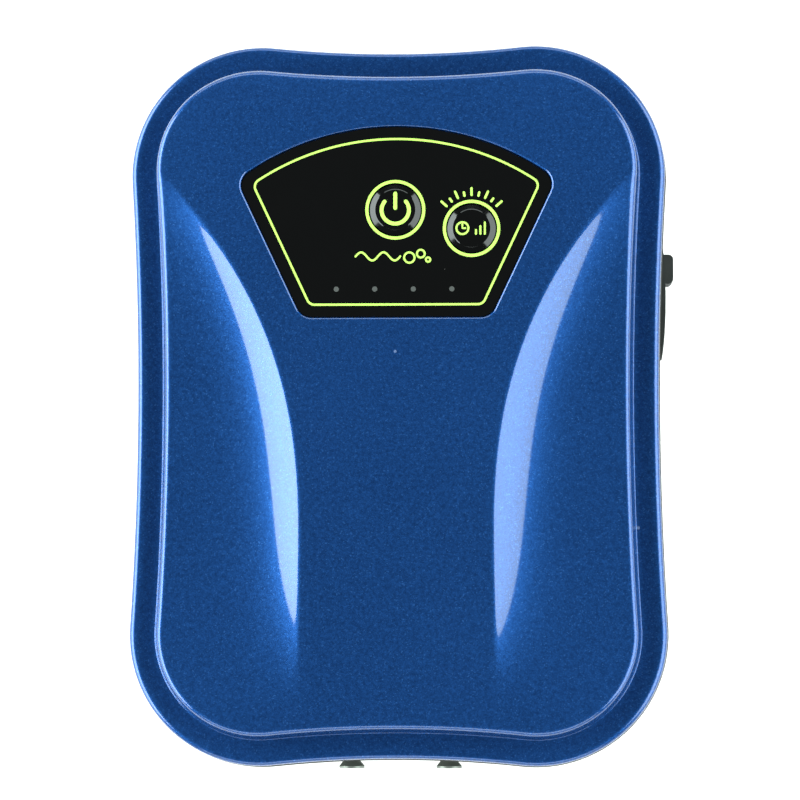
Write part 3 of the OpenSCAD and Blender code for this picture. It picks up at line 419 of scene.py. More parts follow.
def front_rings(case):
    """Rings of the front shell, from under its middle, round its edge, to its middle on top."""
    step = case.ledge + case.lean + case.lip
    under = step - case.lip + case.wall + 0.4 * MM
    joint, joint_top = SEAL_HIGH.z, SEAL_HIGH.z + 1.5 * MM
    fall, cove_r = 0.25 * MM, 0.2 * MM
    ledge_z, ceiling = case.ledge_height - fall, case.ledge_height - case.wall
    rebate = case.wall - 1.15 * MM
    inside = [(under, -case.wall, k / 10, 1) for k in range(11)]
    inside.append((under - 0.4 * MM, -case.wall - 0.4 * MM, 1, 1))
    inside += [(a, z, 1, 0) for a, z in (
        (under - 0.7 * MM, ceiling), (case.wall + case.edge, ceiling), (case.wall, ceiling - case.edge),
        (case.wall, joint_top), (rebate, joint_top), (rebate, joint))]
    skirt = [(0.15 * MM, joint, 1, 0), (0, joint + 0.15 * MM, 1, 0)]
    skirt += [(0, joint + (case.ledge_height - case.edge - joint) * k / 4, 1, 0) for k in (1, 2, 3)]
    skirt += [(a, case.ledge_height - b, 1, 0) for a, b in fillet(6, case.edge)]
    run = case.ledge - cove_r - case.edge
    ledge = [(case.edge + run * k / 4, case.ledge_height - fall * k / 4, 1, 0) for k in (1, 2, 3, 4)]
    cove = [(case.ledge - cove_r * (1 - math.sin(a)), ledge_z + cove_r * (1 - math.cos(a)), 1, 0)
            for a in [math.radians(20 * k) for k in (1, 2, 3, 4)]]
    wall = [(case.ledge + 0.12 * MM, ledge_z + 1.1 * MM, 1, 0)]
    lip = [(case.ledge + case.lean + a, -b, 1, 1) for a, b in fillet(6, case.lip)]
    dense = 108
    top = [(step, 0, 1 - k / dense, 1) for k in range(1, dense + 1)]
    return inside + skirt + ledge + cove + wall + lip + top


def rear_rings(case):
    """Rings of the rear shell, from inside its floor, over its rim, to the middle of its back."""
    low, joint = FEET_LOW.z + 1.2 * MM, SEAL_LOW.z
    floor = low + case.wall
    inner = case.back_edge - case.wall

    def lean(z):
        return case.back_lean * (joint - z) / (joint - low)

    r = case.back_edge
    rings = [(lean(floor) + case.wall + inner, floor, t, 0) for t in (0, 0.5, 1)]
    for t in [math.radians(15 * k) for k in range(1, 7)]:
        z = floor + inner - inner * math.cos(t)
        rings.append((lean(z) + case.wall + inner - inner * math.sin(t), z, 1, 0))
    rebate, rim_top, soft = case.wall - 1 * MM, joint + 2 * MM, 0.15 * MM
    rings += [(a, z, 1, 0) for a, z in (
        (case.wall, joint), (case.wall, rim_top), (rebate, rim_top), (rebate, joint), (soft, joint),
        (lean(joint), joint - soft))]
    rings += [(lean(z), z, 1, 0) for z in [joint - (joint - low - r) * k / 5 for k in range(1, 6)]]
    for t in [math.radians(7.5 * k) for k in range(1, 13)]:
        z = low + r * (1 - math.sin(t))
        rings.append((lean(z) + r * (1 - math.cos(t)), z, 1, 0))
    return rings + [(case.back_lean + r, low, t, 0) for t in (0.8, 0.5, 0.2, 0)]


def seal_rings(case):
    """Rings of the seal between the shells, closed into a loop."""
    proud, inner, soft = -0.45 * MM, case.wall - 1.15 * MM, 0.15 * MM
    low, high = SEAL_LOW.z, SEAL_HIGH.z
    loop = [(inner, low), (proud + soft, low), (proud, low + soft), (proud, high - soft),
            (proud + soft, high), (inner, high), (inner, low)]
    return [(a, z, 1, 0) for a, z in loop]


def case_mesh(context, rings, material):
    """The mesh of one case skin."""
    case, relief = context.scene.pump_case, context.scene.pump_relief
    values = {name: getattr(group, name) for group in (case, relief) for name in setting_names(group)}
    values["inner_edge"] = case.ledge + case.lean + case.lip
    tube = add_object("case_rings", ring_tube(rings))
    mesh = run_tree(tube, case_tree(values), {**values, "Material": material})
    remove_object(tube)
    for label in ("around", *RING_VALUES):
        mesh.attributes.remove(mesh.attributes[label])
    return mesh


# ------------------------------------------------------------------ cutting tools
def stack(bm, points, levels, turn=None):
    """A closed block on an outline; each level is (height, growth of the outline there)."""
    outlines = [(z, grown(points, grow) if grow else points) for z, grow in levels]
    rings = [[bm.verts.new((x, y, z)) for x, y in outline] for z, outline in outlines]
    wrap_rings(bm, rings)
    bm.faces.new(rings[0][::-1])
    bm.faces.new(rings[-1])
    if turn is not None:
        bmesh.ops.transform(bm, matrix=turn, verts=[v for ring in rings for v in ring])


def wrap_rings(bm, rings):
    """Faces between each ring of points and the next."""
    for a, b in zip(rings, rings[1:]):
        for k in range(len(a)):
            bm.faces.new((a[k], a[(k + 1) % len(a)], b[(k + 1) % len(a)], b[k]))


def prism(bm, points, low, high):
    """A closed upright block on an outline."""
    stack(bm, points, [(low, 0), (high, 0)])


FACING_FOOT = Matrix(((1, 0, 0), (0, 0, -1), (0, 1, 0))).to_4x4()
FACING_PORT = Matrix(((0, 0, 1), (1, 0, 0), (0, 1, 0))).to_4x4()


def along_y(bm, outline, y_in, y_out):
    """A block along -Y, drawn in x and z."""
    stack(bm, outline, [(-y_in, 0), (-y_out, 0)], FACING_FOOT)


def along_x(bm, outline, x_in, x_out):
    """A block along +X, drawn in y and z."""
    stack(bm, outline, [(x_in, 0), (x_out, 0)], FACING_PORT)


def grown(points, grow):
    """A closed outline moved outwards; its points run anticlockwise."""
    made = []
    for k, (x, y) in enumerate(points):
        ax, ay = points[k - 1]
        bx, by = points[(k + 1) % len(points)]
        run = math.hypot(bx - ax, by - ay)
        made.append((x + grow * (by - ay) / run, y - grow * (bx - ax) / run))
    return made


def arc(x, y, r, first, last, count):
    """Points along an arc, both ends included; angles in degrees."""
    angles = [math.radians(first + (last - first) * k / count) for k in range(count + 1)]
    return [(x + r * math.cos(a), y + r * math.sin(a)) for a in angles]


def circle(x, y, r, count=64):
    return arc(x, y, r, 0, 360, count)[:-1]


def stadium(x, y, span, width):
    """An outline with two round ends, long in x."""
    r = width / 2
    return arc(x + span / 2 - r, y, r, -90, 90, 24) + arc(x - span / 2 + r, y, r, 90, 270, 24)


def rounded_box(x0, x1, y0, y1, r):
    corners = ((x1 - r, y0 + r, -90), (x1 - r, y1 - r, 0), (x0 + r, y1 - r, 90), (x0 + r, y0 + r, 180))
    return [point for x, y, turn in corners for point in arc(x, y, r, turn, turn + 90, 6)]


def tool_object(name, build):
    bm = bmesh.new()
    build(bm)
    bmesh.ops.recalc_face_normals(bm, faces=bm.faces)
    mesh = bpy.data.meshes.new(name)
    bm.to_mesh(mesh)
    bm.free()
    return add_object(name, mesh)


def carve(mesh, *steps):
    """Joins or cuts tools, one after the other; each step is ("UNION" or "DIFFERENCE", tool object)."""
    work = add_object("work", mesh)
    for operation, tool in steps:
        modifier = work.modifiers.new(operation, "BOOLEAN")
        modifier.operation = operation
        modifier.object = tool
        modifier.solver = "EXACT"
    bpy.context.view_layer.update()
    done = bpy.data.meshes.new_from_object(work.evaluated_get(bpy.context.evaluated_depsgraph_get()))
    for _, tool in steps:
        remove_object(tool)
    remove_object(work)
    return done


def fan_outline(marks, inset, corner):
    """The panel's fan outline, anticlockwise: straight foot, sloping sides, arched top, round corners."""
    mid_x = middle(PANEL_LOW, PANEL_HIGH).x
    low_y, apex_y = PANEL_LOW.y, PANEL_HIGH.y
    arc_y = apex_y - marks.arc
    top = Vector((marks.top_width / 2, arc_y + math.sqrt(marks.arc ** 2 - (marks.top_width / 2) ** 2)))
    foot = Vector((marks.low_width / 2, low_y))
    along = (top - foot).normalized()
    inward = Vector((-along.y, along.x))
    start = foot + inward * (inset + corner)
    low_at = start + along * ((low_y + inset + corner - start.y) / along.y)
    # where the line at that distance meets the circle at that distance from the arch
    hub = Vector((0, arc_y))
    radius = marks.arc - inset - corner
    b = (start - hub).dot(along)
    high_at = start + along * (-b + math.sqrt(b * b - (start - hub).length_squared + radius ** 2))
    side_angle = math.degrees(math.atan2(-inward.y, -inward.x))
    arch_angle = math.degrees(math.atan2(high_at.y - arc_y, high_at.x))
    right = arc(*low_at, corner, -90, side_angle, 8) + arc(*high_at, corner, side_angle, arch_angle, 8)
    arch = arc(*hub, marks.arc - inset, arch_angle, 180 - arch_angle, 48)[1:-1]
    left = [(-x, y) for x, y in right[::-1]]
    return [(mid_x + x, y) for x, y in right + arch + left]


# ------------------------------------------------------------------ finishes
def finish(recipe):
    """Makes a material from a recipe that gives its Principled shader's numbers and fields by label."""
    def make(name, *values, **options):
        material = bpy.data.materials.new(name)
        material.use_nodes = True
        material.node_tree.nodes.clear()
        g = Graph(material.node_tree)
        made = g.tree.nodes.new("ShaderNodeBsdfPrincipled")
        looks = recipe(g, g.node("ShaderNodeTexCoord", None, {}, "Object"), *values, **options)
        for label, value in looks.items():
            if isinstance(value, Field):
                g.tree.links.new(value.socket, made.inputs[label])
            else:
                made.inputs[label].default_value = value
        sink = g.tree.nodes.new("ShaderNodeOutputMaterial")
        g.tree.links.new(made.outputs[0], sink.inputs[0])
        return material
    return make


def noise(g, place, scale, detail=3, rough=0.5):
    values = {"Vector": place, "Scale": scale, "Detail": detail, "Roughness": rough}
    return g.node("ShaderNodeTexNoise", None, values)


def bump(g, height, depth, strength=1, normal=None):
    values = {"Strength": strength, "Distance": depth, "Height": height, "Normal": normal}
    return g.node("ShaderNodeBump", None, values)


def toned(tone, gain, lift=0):
    """A colour made darker or paler."""
    return [min(1, c * gain + lift) for c in tone[:3]]


def blend_tone(g, share, low, high):
    """A colour between two colours; either may be a field."""
    made = g.node("ShaderNodeMix", {"data_type": "RGBA"}, {"Factor": share}, 2)
    for key, tone in (("A", low), ("B", high)):
        socket = next(s for s in made.socket.node.inputs if s.name == key and s.type == "RGBA")
        if isinstance(tone, Field):
            g.tree.links.new(tone.socket, socket)
        else:
            socket.default_value = (*tone[:3], 1)
    return made


def cells(g, place, scale, jitter=1):
    """For each small cell a random number, the distance to its middle and a second random number."""
    values = {"Vector": place, "Scale": scale, "Randomness": jitter}
    distance = g.node("ShaderNodeTexVoronoi", {"feature": "F1"}, values)
    split = g.node("ShaderNodeSeparateColor", None, [g.other(distance, "Color")])
    return split, distance, g.other(split, 1)


@finish
def flake_lacquer(g, place, settings):
    """Blue lacquer with fine bright flakes under a clear coat; a few flakes carry a painted glint."""
    spark, _, tint = cells(g, place, 5200)
    drift = noise(g, place, 1500, 2)
    cloud = noise(g, place, 26, 2)
    share = (0.26 + 0.46 * spark * spark + 0.62 * (drift - 0.5) + 0.30 * (cloud - 0.5)).most(0).least(1)
    base = blend_tone(g, share, settings.lacquer_deep, settings.lacquer)
    # painted glint: a few flake cells get a paler blue base colour that stands in for their sparkle
    painted_glint = (spark > 0.95) * (tint > 0.5)
    base = blend_tone(g, painted_glint * 0.16, base, (0.08, 0.24, 0.60))
    dust = cells(g, place, 150)
    speck = (dust[0] > 0.95) * (dust[1] < 0.05)
    base = blend_tone(g, speck * 0.3, base, (0.35, 0.42, 0.55))
    lean = bump(g, spark, 0.004 * MM, 0.5)
    peel = bump(g, noise(g, place, 420, 1), 0.003 * MM, 0.3, lean)
    rough = 0.44 + 0.08 * (drift - 0.5) + 0.3 * speck
    return {"Metallic": 0.8, "Specular IOR Level": 0.1,
            "Coat Weight": 1, "Coat Roughness": 0.08, "Coat IOR": 1.45,
            "Base Color": base, "Roughness": rough, "Normal": peel}


@finish
def moulded(g, place, tone, rough=0.5, grain=1600, depth=0.02, coat=0.0, gloss=0.5):
    """Moulded plastic: fine spark grain, soft mottling and a few paler scuffs."""
    fine = noise(g, place, grain, 2)
    cloud = noise(g, place, 45, 3)
    scuff = noise(g, place, 160, 4, 0.7).between(0.62, 0.74)
    darker = toned(tone, 0.78)
    lighter = toned(tone, 1.15, 0.004)
    base = blend_tone(g, (0.5 + 0.7 * (cloud - 0.5) + 0.35 * (fine - 0.5)).most(0).least(1), darker, lighter)
    base = blend_tone(g, scuff * 0.10, base, toned(tone, 1.3, 0.02))
    shine = rough + 0.10 * (cloud - 0.5) + 0.08 * scuff + 0.05 * (fine - 0.5)
    return {"Coat Weight": coat, "Coat Roughness": 0.12, "Specular IOR Level": gloss,
            "Base Color": base, "Roughness": shine, "Normal": bump(g, fine, depth * MM, 0.6)}


@finish
def polished(g, place, tone):
    """Polished black: deep gloss with faint wipe marks and fine dust."""
    wipe = noise(g, place, 60, 4, 0.65)
    dust = cells(g, place, 420)
    speck = (dust[0] > 0.90) * (dust[1] < 0.045)
    base = blend_tone(g, speck * 0.30, toned(tone, 0.9), (0.10, 0.09, 0.085))
    rough = 0.09 + 0.07 * wipe.between(0.45, 0.75) + 0.4 * speck
    ripple = bump(g, noise(g, place, 180, 1), 0.002 * MM, 0.3)
    return {"Coat Weight": 0.12, "Coat Roughness": 0.05, "Specular IOR Level": 0.3,
            "Base Color": base, "Roughness": rough, "Normal": ripple}


@finish
def soft_rubber(g, place, tone, rough=0.62, depth=0.03):
    """Moulded rubber: matt, with fine pores and a dusty bloom."""
    pores, near, _ = cells(g, place, 1500)
    bloom = noise(g, place, 90, 4, 0.6)
    base = blend_tone(g, bloom.between(0.35, 0.8), tone, toned(tone, 1.35, 0.010))
    shine = rough + 0.16 * (bloom - 0.5) + 0.05 * (pores - 0.5)
    height = near * 0.6 + noise(g, place, 2600, 2) * 0.4
    return {"Sheen Weight": 0.03, "Sheen Roughness": 0.5, "Specular IOR Level": 0.3,
            "Base Color": base, "Roughness": shine, "Normal": bump(g, height, depth * MM, 0.5)}


@finish
def turned_metal(g, place, tone, rough=0.30, axis="Y", metallic=1.0):
    """Turned metal: tool rings across one axis over a fine mottled plating."""
    split = g.node("ShaderNodeSeparateXYZ", None, [place])
    run = g.other(split, axis)
    rings = (run * 9000 + noise(g, place, 500, 2) * 3).sine() * 0.5 + 0.5
    mottle = noise(g, place, 320, 4, 0.6)
    base = blend_tone(g, mottle, toned(tone, 0.72), toned(tone, 1.12))
    shine = rough + 0.12 * (mottle - 0.5) + 0.06 * rings
    return {"Metallic": metallic,
            "Base Color": base, "Roughness": shine, "Normal": bump(g, rings, 0.006 * MM, 0.5)}


@finish
def plated_steel(g, place, tone, rough=0.34, stretch=(1, 1, 14)):
    """Rolled or plated steel: streaks along one way, with a faint cloudy film."""
    drawn = g.node("ShaderNodeMapping", None, {"Vector": place, "Scale": stretch})
    streak = noise(g, drawn, 700, 3, 0.6)
    film = noise(g, place, 70, 3)
    base = blend_tone(g, (0.6 * streak + 0.4 * film), toned(tone, 0.70), toned(tone, 1.10))
    shine = rough + 0.18 * (streak - 0.5) + 0.1 * (film - 0.5)
    return {"Metallic": 1.0,
            "Base Color": base, "Roughness": shine, "Normal": bump(g, streak, 0.004 * MM, 0.5)}


@finish
def pressed_felt(g, place, tone):
    """Felt: matted fibres."""
    fibre = noise(g, place, 1400, 6, 0.75)
    clump = noise(g, place, 240, 3)
    base = blend_tone(g, (0.6 * fibre + 0.4 * clump), toned(tone, 0.6), tone)
    return {"Sheen Weight": 0.4,
            "Base Color": base, "Roughness": 0.95, "Normal": bump(g, fibre, 0.15 * MM, 0.8)}


@finish
def board_lacquer(g, place, tone):
    """Circuit board: green mask over a grid of tracks."""
    split = g.node("ShaderNodeSeparateXYZ", None, [place])
    wander = noise(g, place, 130, 1)
    across = ((g.other(split, "X") * 620 + wander * 2.2).part() - 0.5).size()
    tracks = (across < 0.20) * (noise(g, place, 95, 0) > 0.48)
    base = blend_tone(g, tracks * 0.7, tone, toned(tone, 2.1, 0.01))
    shine = 0.38 + 0.1 * (wander - 0.5)
    return {"Coat Weight": 0.3, "Coat Roughness": 0.2,
            "Base Color": base, "Roughness": shine, "Normal": bump(g, tracks, 0.02 * MM, 0.5)}


@finish
def milky(g, place, tone):
    """Milky translucent silicone or clear plastic."""
    cloud = noise(g, place, 220, 3)
    base = blend_tone(g, cloud, toned(tone, 0.85), tone)
    shine = 0.32 + 0.15 * (cloud - 0.5)
    return {"Transmission Weight": 0.35, "IOR": 1.45,
            "Base Color": base, "Roughness": shine, "Normal": bump(g, cloud, 0.01 * MM, 0.3)}


@finish
def printed_ink(g, place, tone):
    """Screen-printed ink: opaque, with a faint mesh and slight thin spots."""
    thin = noise(g, place, 700, 3)
    mesh = cells(g, place, 5200, 0.2)[1]
    base = blend_tone(g, thin.between(0.35, 0.75) * 0.6, tone, toned(tone, 0.80))
    return {"Coat Weight": 0.15, "Base Color": base, "Roughness": 0.42 + 0.1 * (thin - 0.5),
            "Normal": bump(g, mesh, 0.003 * MM, 0.4)}


@finish
def matt_floor(g, place, tone):
    """A pale floor that gives off a little light of its own."""
    return {"Base Color": (*tone, 1), "Roughness": 0.9,
            "Emission Color": (1, 1, 1, 1), "Emission Strength": 0.35}


def tone_of(slot):
    """The record's colour for a slot, as a linear colour."""
    entry = next(m for m in frame["record"]["materials"] if m["slot"] == slot)
    return tuple(entry["base_color"][:3])


def make_finishes(scene):
    """Every slot's material by its slot's name."""
    chosen = scene.pump_finish
    recipes = {"case_blue": (flake_lacquer, chosen),
               "case_black": (moulded, chosen.back, 0.46, 1500, 0.03, 0, 0.3),
               "panel_black": (polished, (0.0028, 0.0028, 0.0028)),
               "cover_rubber": (soft_rubber, chosen.rubber),
               "nozzle_metal": (turned_metal, (0.24, 0.255, 0.225), 0.44, "Y", 0.6),
               "felt": (pressed_felt, tone_of("felt")),
               "board_green": (board_lacquer, tone_of("board_green")),
               "light_guide": (milky, (0.10, 0.105, 0.10)),
               "hose_silicone": (milky, tone_of("hose_silicone")),
               "cell_wrap": (moulded, tone_of("cell_wrap"), 0.30, 500, 0.01, 0.4),
               "copper": (turned_metal, tone_of("copper"), 0.30, "X"),
               "panel_ink": (printed_ink, scene.pump_marks.ink)}
    for recipe, rough, slots in (
            (soft_rubber, 0.66, ("seal_rubber", "grommet_rubber", "flap_rubber", "diaphragm_rubber")),
            (soft_rubber, 0.55, ("lead_red", "lead_amber", "lead_black")),
            (plated_steel, 0.22, ("magnet",)),
            (plated_steel, 0.34, ("screw_steel", "socket_steel", "nickel", "bracket_steel", "core_steel",
                                  "arm_steel"))):
        for slot in slots:
            recipes[slot] = (recipe, tone_of(slot), rough)
    for slot in ("inner_plastic", "chip_black", "connector_white", "bobbin", "head_plastic", "led_yellow"):
        recipes[slot] = (moulded, tone_of(slot), 0.46, 1200, 0.02)
    return {slot: recipe(slot, *values) for slot, (recipe, *values) in recipes.items()}


def material_of(slot):
    """A finish that the finishes operator has made."""
    material = bpy.data.materials.get(slot)
    if material is None:
        raise RuntimeError("make the finishes first: there is no material " + slot)
    return material


# ------------------------------------------------------------------ operators
class PUMP_OT_finishes(bpy.types.Operator):
    """Makes every finish and gives each CAD node the one of its slot"""
    bl_idname = "pump.finishes"
    bl_label = "Make Finishes"

    def execute(self, context):
        for material in list(bpy.data.materials):
            material.name = "cad_" + material.name
        made = make_finishes(context.scene)
        for entry in frame["record"]["subparts"]:
            mesh = NODES[entry["node"]].data
            mesh.materials.clear()
            mesh.materials.append(made[entry["material_slot"]])
        return {"FINISHED"}


class PUMP_OT_front_shell(bpy.types.Operator):
    """Builds the blue front shell with its ridge, scoops, ledge and panel recess"""
    bl_idname = "pump.front_shell"
    bl_label = "Build Front Shell"

    def execute(self, context):
        case, marks = context.scene.pump_case, context.scene.pump_marks
        material = material_of("case_blue")
        mesh = case_mesh(context, front_rings(case), material)
        gap = 0.15 * MM
        floor, over = PANEL_LOW.z, case.height + 1 * MM
        power, timer = middle(POWER_LOW, POWER_HIGH), middle(TIMER_LOW, TIMER_HIGH)
        lights_low, lights_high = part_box("light_guide")
        pitch = (lights_high.x - lights_low.x - 4 * MM) / 3

        def recess(bm):
            outline = fan_outline(marks, -gap, marks.corner + gap)
            round_r = 0.42 * MM
            rim = case.height - round_r
            rounding = [(rim + round_r * math.sin(a), round_r * (1 - math.cos(a)))
                        for a in [math.radians(15 * k) for k in range(6)]]
            stack(bm, outline, [(floor, 0)] + rounding + [(over, 1.3 * MM)])

        def holes(bm):
            for at, low, high in ((power, POWER_LOW, POWER_HIGH), (timer, TIMER_LOW, TIMER_HIGH)):
                r = (high.x - low.x) / 2 - BUTTON_FLANGE + gap
                prism(bm, circle(at.x, at.y, r), case.height - 5 * MM, floor + 0.5 * MM)
            for k in range(4):
                x = lights_low.x + 2 * MM + k * pitch
                prism(bm, circle(x, middle(lights_low, lights_high).y, 0.65 * MM, 24), case.height - 5 * MM,
                      floor + 0.5 * MM)

        mesh = carve(mesh, ("DIFFERENCE", tool_object("panel_recess", recess)),
                     ("DIFFERENCE", tool_object("button_holes", holes)))
        ready_piece("blue_front_shell", mesh, "case", "case_blue", material, "front_shell")
        return {"FINISHED"}


def four_corners(high, radius):
    """The middles of four round parts, one in each corner, from the highest corner of their shared box."""
    return [(sx * (high.x - radius), sy * (high.y - radius)) for sx in (-1, 1) for sy in (-1, 1)]


class PUMP_OT_rear_shell(bpy.types.Operator):
    """Builds the black rear shell with its outlet bay, port seat, screw wells, foot seats and vents"""
    bl_idname = "pump.rear_shell"
    bl_label = "Build Rear Shell"

    def execute(self, context):
        case = context.scene.pump_case
        material = material_of("case_black")
        mesh = case_mesh(context, rear_rings(case), material)
        nozzles = [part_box("outlet_nozzle_left"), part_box("outlet_nozzle_right")]
        centres = [middle(*n) for n in nozzles]
        axis_z = centres[0].z
        half_l = case.length / 2
        bay_half = (centres[1].x - centres[0].x) / 2 + 8 * MM
        bay_y = 5.2 * MM - (half_l - case.end_pinch)
        bay_h = 5.5 * MM
        back = BACK_LOW.z
        feet, wells = four_corners(FEET_HIGH, 6.5 * MM), four_corners(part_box("case_screws")[1], 3 * MM)
        cover_low, cover_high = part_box("port_cover")
        seat_low = Vector((cover_low.x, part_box("port_cover_anchor")[0].y, cover_low.z))
        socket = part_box("charge_socket")
        seat_x = socket[1].x + 0.4 * MM
        felt_low, felt_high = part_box("intake_felt")
        felt_y = middle(felt_low, felt_high).y

        def bay_outline(more, radius):
            half_x, half_z = bay_half + more, bay_h + more
            return rounded_box(-half_x, half_x, axis_z - half_z, axis_z + half_z, radius)

        def posts(bm):
            for x, y in wells:
                prism(bm, circle(x, y, 4.2 * MM), back + 1 * MM, SEAL_LOW.z)
            along_y(bm, bay_outline(case.wall, 1 * MM), bay_y + case.wall, -half_l + 3 * MM)

        def back_cuts(bm):
            for x, y in wells:
                prism(bm, circle(x, y, 3.3 * MM), back - 1 * MM, back + 4.3 * MM)
            for x, y in feet:
                prism(bm, circle(x, y, 6.6 * MM), back - 1 * MM, back + 0.8 * MM)
            for k in range(6):
                x = (k - 2.5) * 4.2 * MM
                slot = [(x + b, felt_y + a) for a, b in stadium(0, 0, 11 * MM, 1.6 * MM)][::-1]
                prism(bm, slot, back - 1 * MM, felt_low.z + 0.2 * MM)

        def bay(bm):
            along_y(bm, bay_outline(0, 1.4 * MM), bay_y, -half_l + case.end_pinch + 0.35 * MM)
            for centre in centres:
                hole = circle(centre.x, axis_z, 2.7 * MM, 40)
                along_y(bm, hole, bay_y + case.wall + 1 * MM, bay_y - 0.5 * MM)

        def mouth(bm):
            rim, bevel, past = half_l - case.end_pinch, 0.7 * MM, 3 * MM
            levels = [(rim - bevel, 0), (rim, bevel), (rim + past, bevel + past)]
            stack(bm, bay_outline(0, 1.4 * MM), levels, FACING_FOOT)

        def port(bm):
            for low, high, gap, x_in, x_out in ((seat_low, cover_high, 0.4 * MM, seat_x, seat_x + 4 * MM),
                                                (*socket, 0.3 * MM, seat_x - 3.4 * MM, seat_x + 1 * MM)):
                at, size = middle(low, high), high - low
                along_x(bm, stadium(at.y, at.z, size.y + gap, size.z + gap), x_in, x_out)

        cuts = [("DIFFERENCE", tool_object(cut.__name__, cut)) for cut in (bay, mouth, back_cuts, port)]
        mesh = carve(mesh, ("UNION", tool_object("posts", posts)), *cuts)
        ready_piece("black_rear_shell", mesh, "case", "case_black", material, "rear_shell")
        return {"FINISHED"}


class PUMP_OT_seal(bpy.types.Operator):
    """Builds the rubber seal between the two shells"""
    bl_idname = "pump.seal"
    bl_label = "Build Seal"

    def execute(self, context):
        material = material_of("seal_rubber")
        mesh = case_mesh(context, seal_rings(context.scene.pump_case), material)
        ready_piece("joint_seal", mesh, "case", "seal_rubber", material, "shell_seal")
        return {"FINISHED"}


def stroke_tree():
    """Sweeps a flat bar along curves and rounds the open ends."""
    g, f = new_geometry_tree("printed_stroke",
                             {"Width": "Float", "Thickness": "Float", "Material": "Material"})
    profile = g.node("GeometryNodeCurvePrimitiveQuadrilateral", {"mode": "RECTANGLE"},
                     {"Width": f["Width"], "Height": f["Thickness"]})
    level = g.node("GeometryNodeSetCurveNormal", None, {"Curve": f["Geometry"]})
    bars = g.node("GeometryNodeCurveToMesh", None,
                  {"Curve": level, "Profile Curve": profile, "Fill Caps": True})
    ends = g.node("GeometryNodeCurveEndpointSelection", None, {"Start Size": 1, "End Size": 1})
    cyclic = g.node("GeometryNodeInputSplineCyclic")
    open_ends = g.node("FunctionNodeBooleanMath", {"operation": "NIMPLY"}, [ends, cyclic])
    cap = g.node("GeometryNodeMeshCylinder", {"fill_type": "NGON"},
                 {"Vertices": 20, "Radius": f["Width"] / 2, "Depth": f["Thickness"] * 0.9})
    caps = g.node("GeometryNodeInstanceOnPoints", None,
                  {"Points": level, "Selection": open_ends, "Instance": cap})
    end_tree(g, join(g, bars, caps), f["Material"])
    return g


def print_marks(name, strokes, width, height, z, body, material):
    """Printed marks from strokes; each stroke is (points, closed)."""
    data = bpy.data.curves.new(name, "CURVE")
    data.dimensions = "3D"
    for points, closed in strokes:
        spline = data.splines.new("POLY")
        spline.points.add(len(points) - 1)
        for point, (x, y) in zip(spline.points, points):
            point.co = (x, y, z + height / 2, 1)
        spline.use_cyclic_u = closed
    source = add_object(name + "_path", data)
    mesh = run_tree(source, stroke_tree(), {"Width": width, "Thickness": height, "Material": material})
    remove_object(source)
    return ready_piece(name, mesh, body, "panel_black", material)


class PUMP_OT_panel_marks(bpy.types.Operator):
    """Prints the border, the rings, the timer's tick marks and the bubble row on the panel"""
    bl_idname = "pump.panel_marks"
    bl_label = "Print Panel Marks"

    def execute(self, context):
        marks = context.scene.pump_marks
        ink, z, thick = material_of("panel_ink"), PANEL_HIGH.z, marks.ink_height
        border = fan_outline(marks, marks.border, 1.5 * MM)
        print_marks("panel_border", [(border, True)], marks.line, thick, z, "case", ink)
        power, timer = middle(POWER_LOW, POWER_HIGH), middle(TIMER_LOW, TIMER_HIGH)
        rings = []
        for at, low, high in ((power, POWER_LOW, POWER_HIGH), (timer, TIMER_LOW, TIMER_HIGH)):
            r = (high.x - low.x) / 2 - BUTTON_FLANGE + 0.22 * MM + marks.ring / 2
            rings.append((circle(at.x, at.y, r, 96), True))
        print_marks("button_rings", rings, marks.ring, thick, z, "case", ink)
        ticks = []
        for k in range(9):
            angle = 138 - 12 * k
            ends = (6.45 * MM, (7.75 if k % 2 == 0 else 7.1) * MM)
            ticks.append(([arc(timer.x, timer.y, r, angle, angle, 1)[0] for r in ends], False))
        print_marks("timer_ticks", ticks, 0.45 * MM, thick, z, "case", ink)
        low_y = power.y - 9.0 * MM
        span, swell, waves = 8.6 * MM, 0.8 * MM, 2
        wave = [(power.x + (t - 0.5) * span - 3.35 * MM, low_y + swell * math.sin(math.tau * t * waves))
                for t in [k / 40 for k in range(41)]]
        bubbles = [(circle(power.x + dx * MM, low_y + dy * MM, r * MM, 32), True)
                   for dx, dy, r in ((2.7, -0.25, 1.0), (4.9, 0.5, 0.75), (6.3, -0.65, 0.42))]
        print_marks("bubble_row", [(wave, False)] + bubbles, marks.fine, thick, z, "case", ink)
        return {"FINISHED"}


class PUMP_OT_button_marks(bpy.types.Operator):
    """Prints the power symbol and the timer symbols on the two buttons"""
    bl_idname = "pump.button_marks"
    bl_label = "Print Button Marks"

    def execute(self, context):
        marks = context.scene.pump_marks
        ink, thick = material_of("panel_ink"), marks.ink_height
        at = middle(POWER_LOW, POWER_HIGH)
        y = at.y - 0.1 * MM
        symbol = [(arc(at.x, y, 2.63 * MM, 141, 399, 40), False),
                  ([(at.x, y + 0.42 * MM), (at.x, y + 3.2 * MM)], False)]
        print_marks("power_symbol", symbol, marks.stroke, thick, POWER_HIGH.z, "power_button", ink)
        at = middle(TIMER_LOW, TIMER_HIGH)
        clock = at.x - 1.75 * MM
        hands = [(circle(clock, at.y, 1.15 * MM, 36), True),
                 ([(clock, at.y + 0.75 * MM), (clock, at.y), (clock + 0.55 * MM, at.y)], False)]
        bars = [([(at.x + (0.85 + 0.85 * k) * MM, at.y - 1.1 * MM),
                  (at.x + (0.85 + 0.85 * k) * MM, at.y + (-0.35 + 0.72 * k) * MM)], False) for k in range(3)]
        print_marks("timer_symbol", hands + bars, marks.fine, thick, TIMER_HIGH.z, "timer_button", ink)
        return {"FINISHED"}


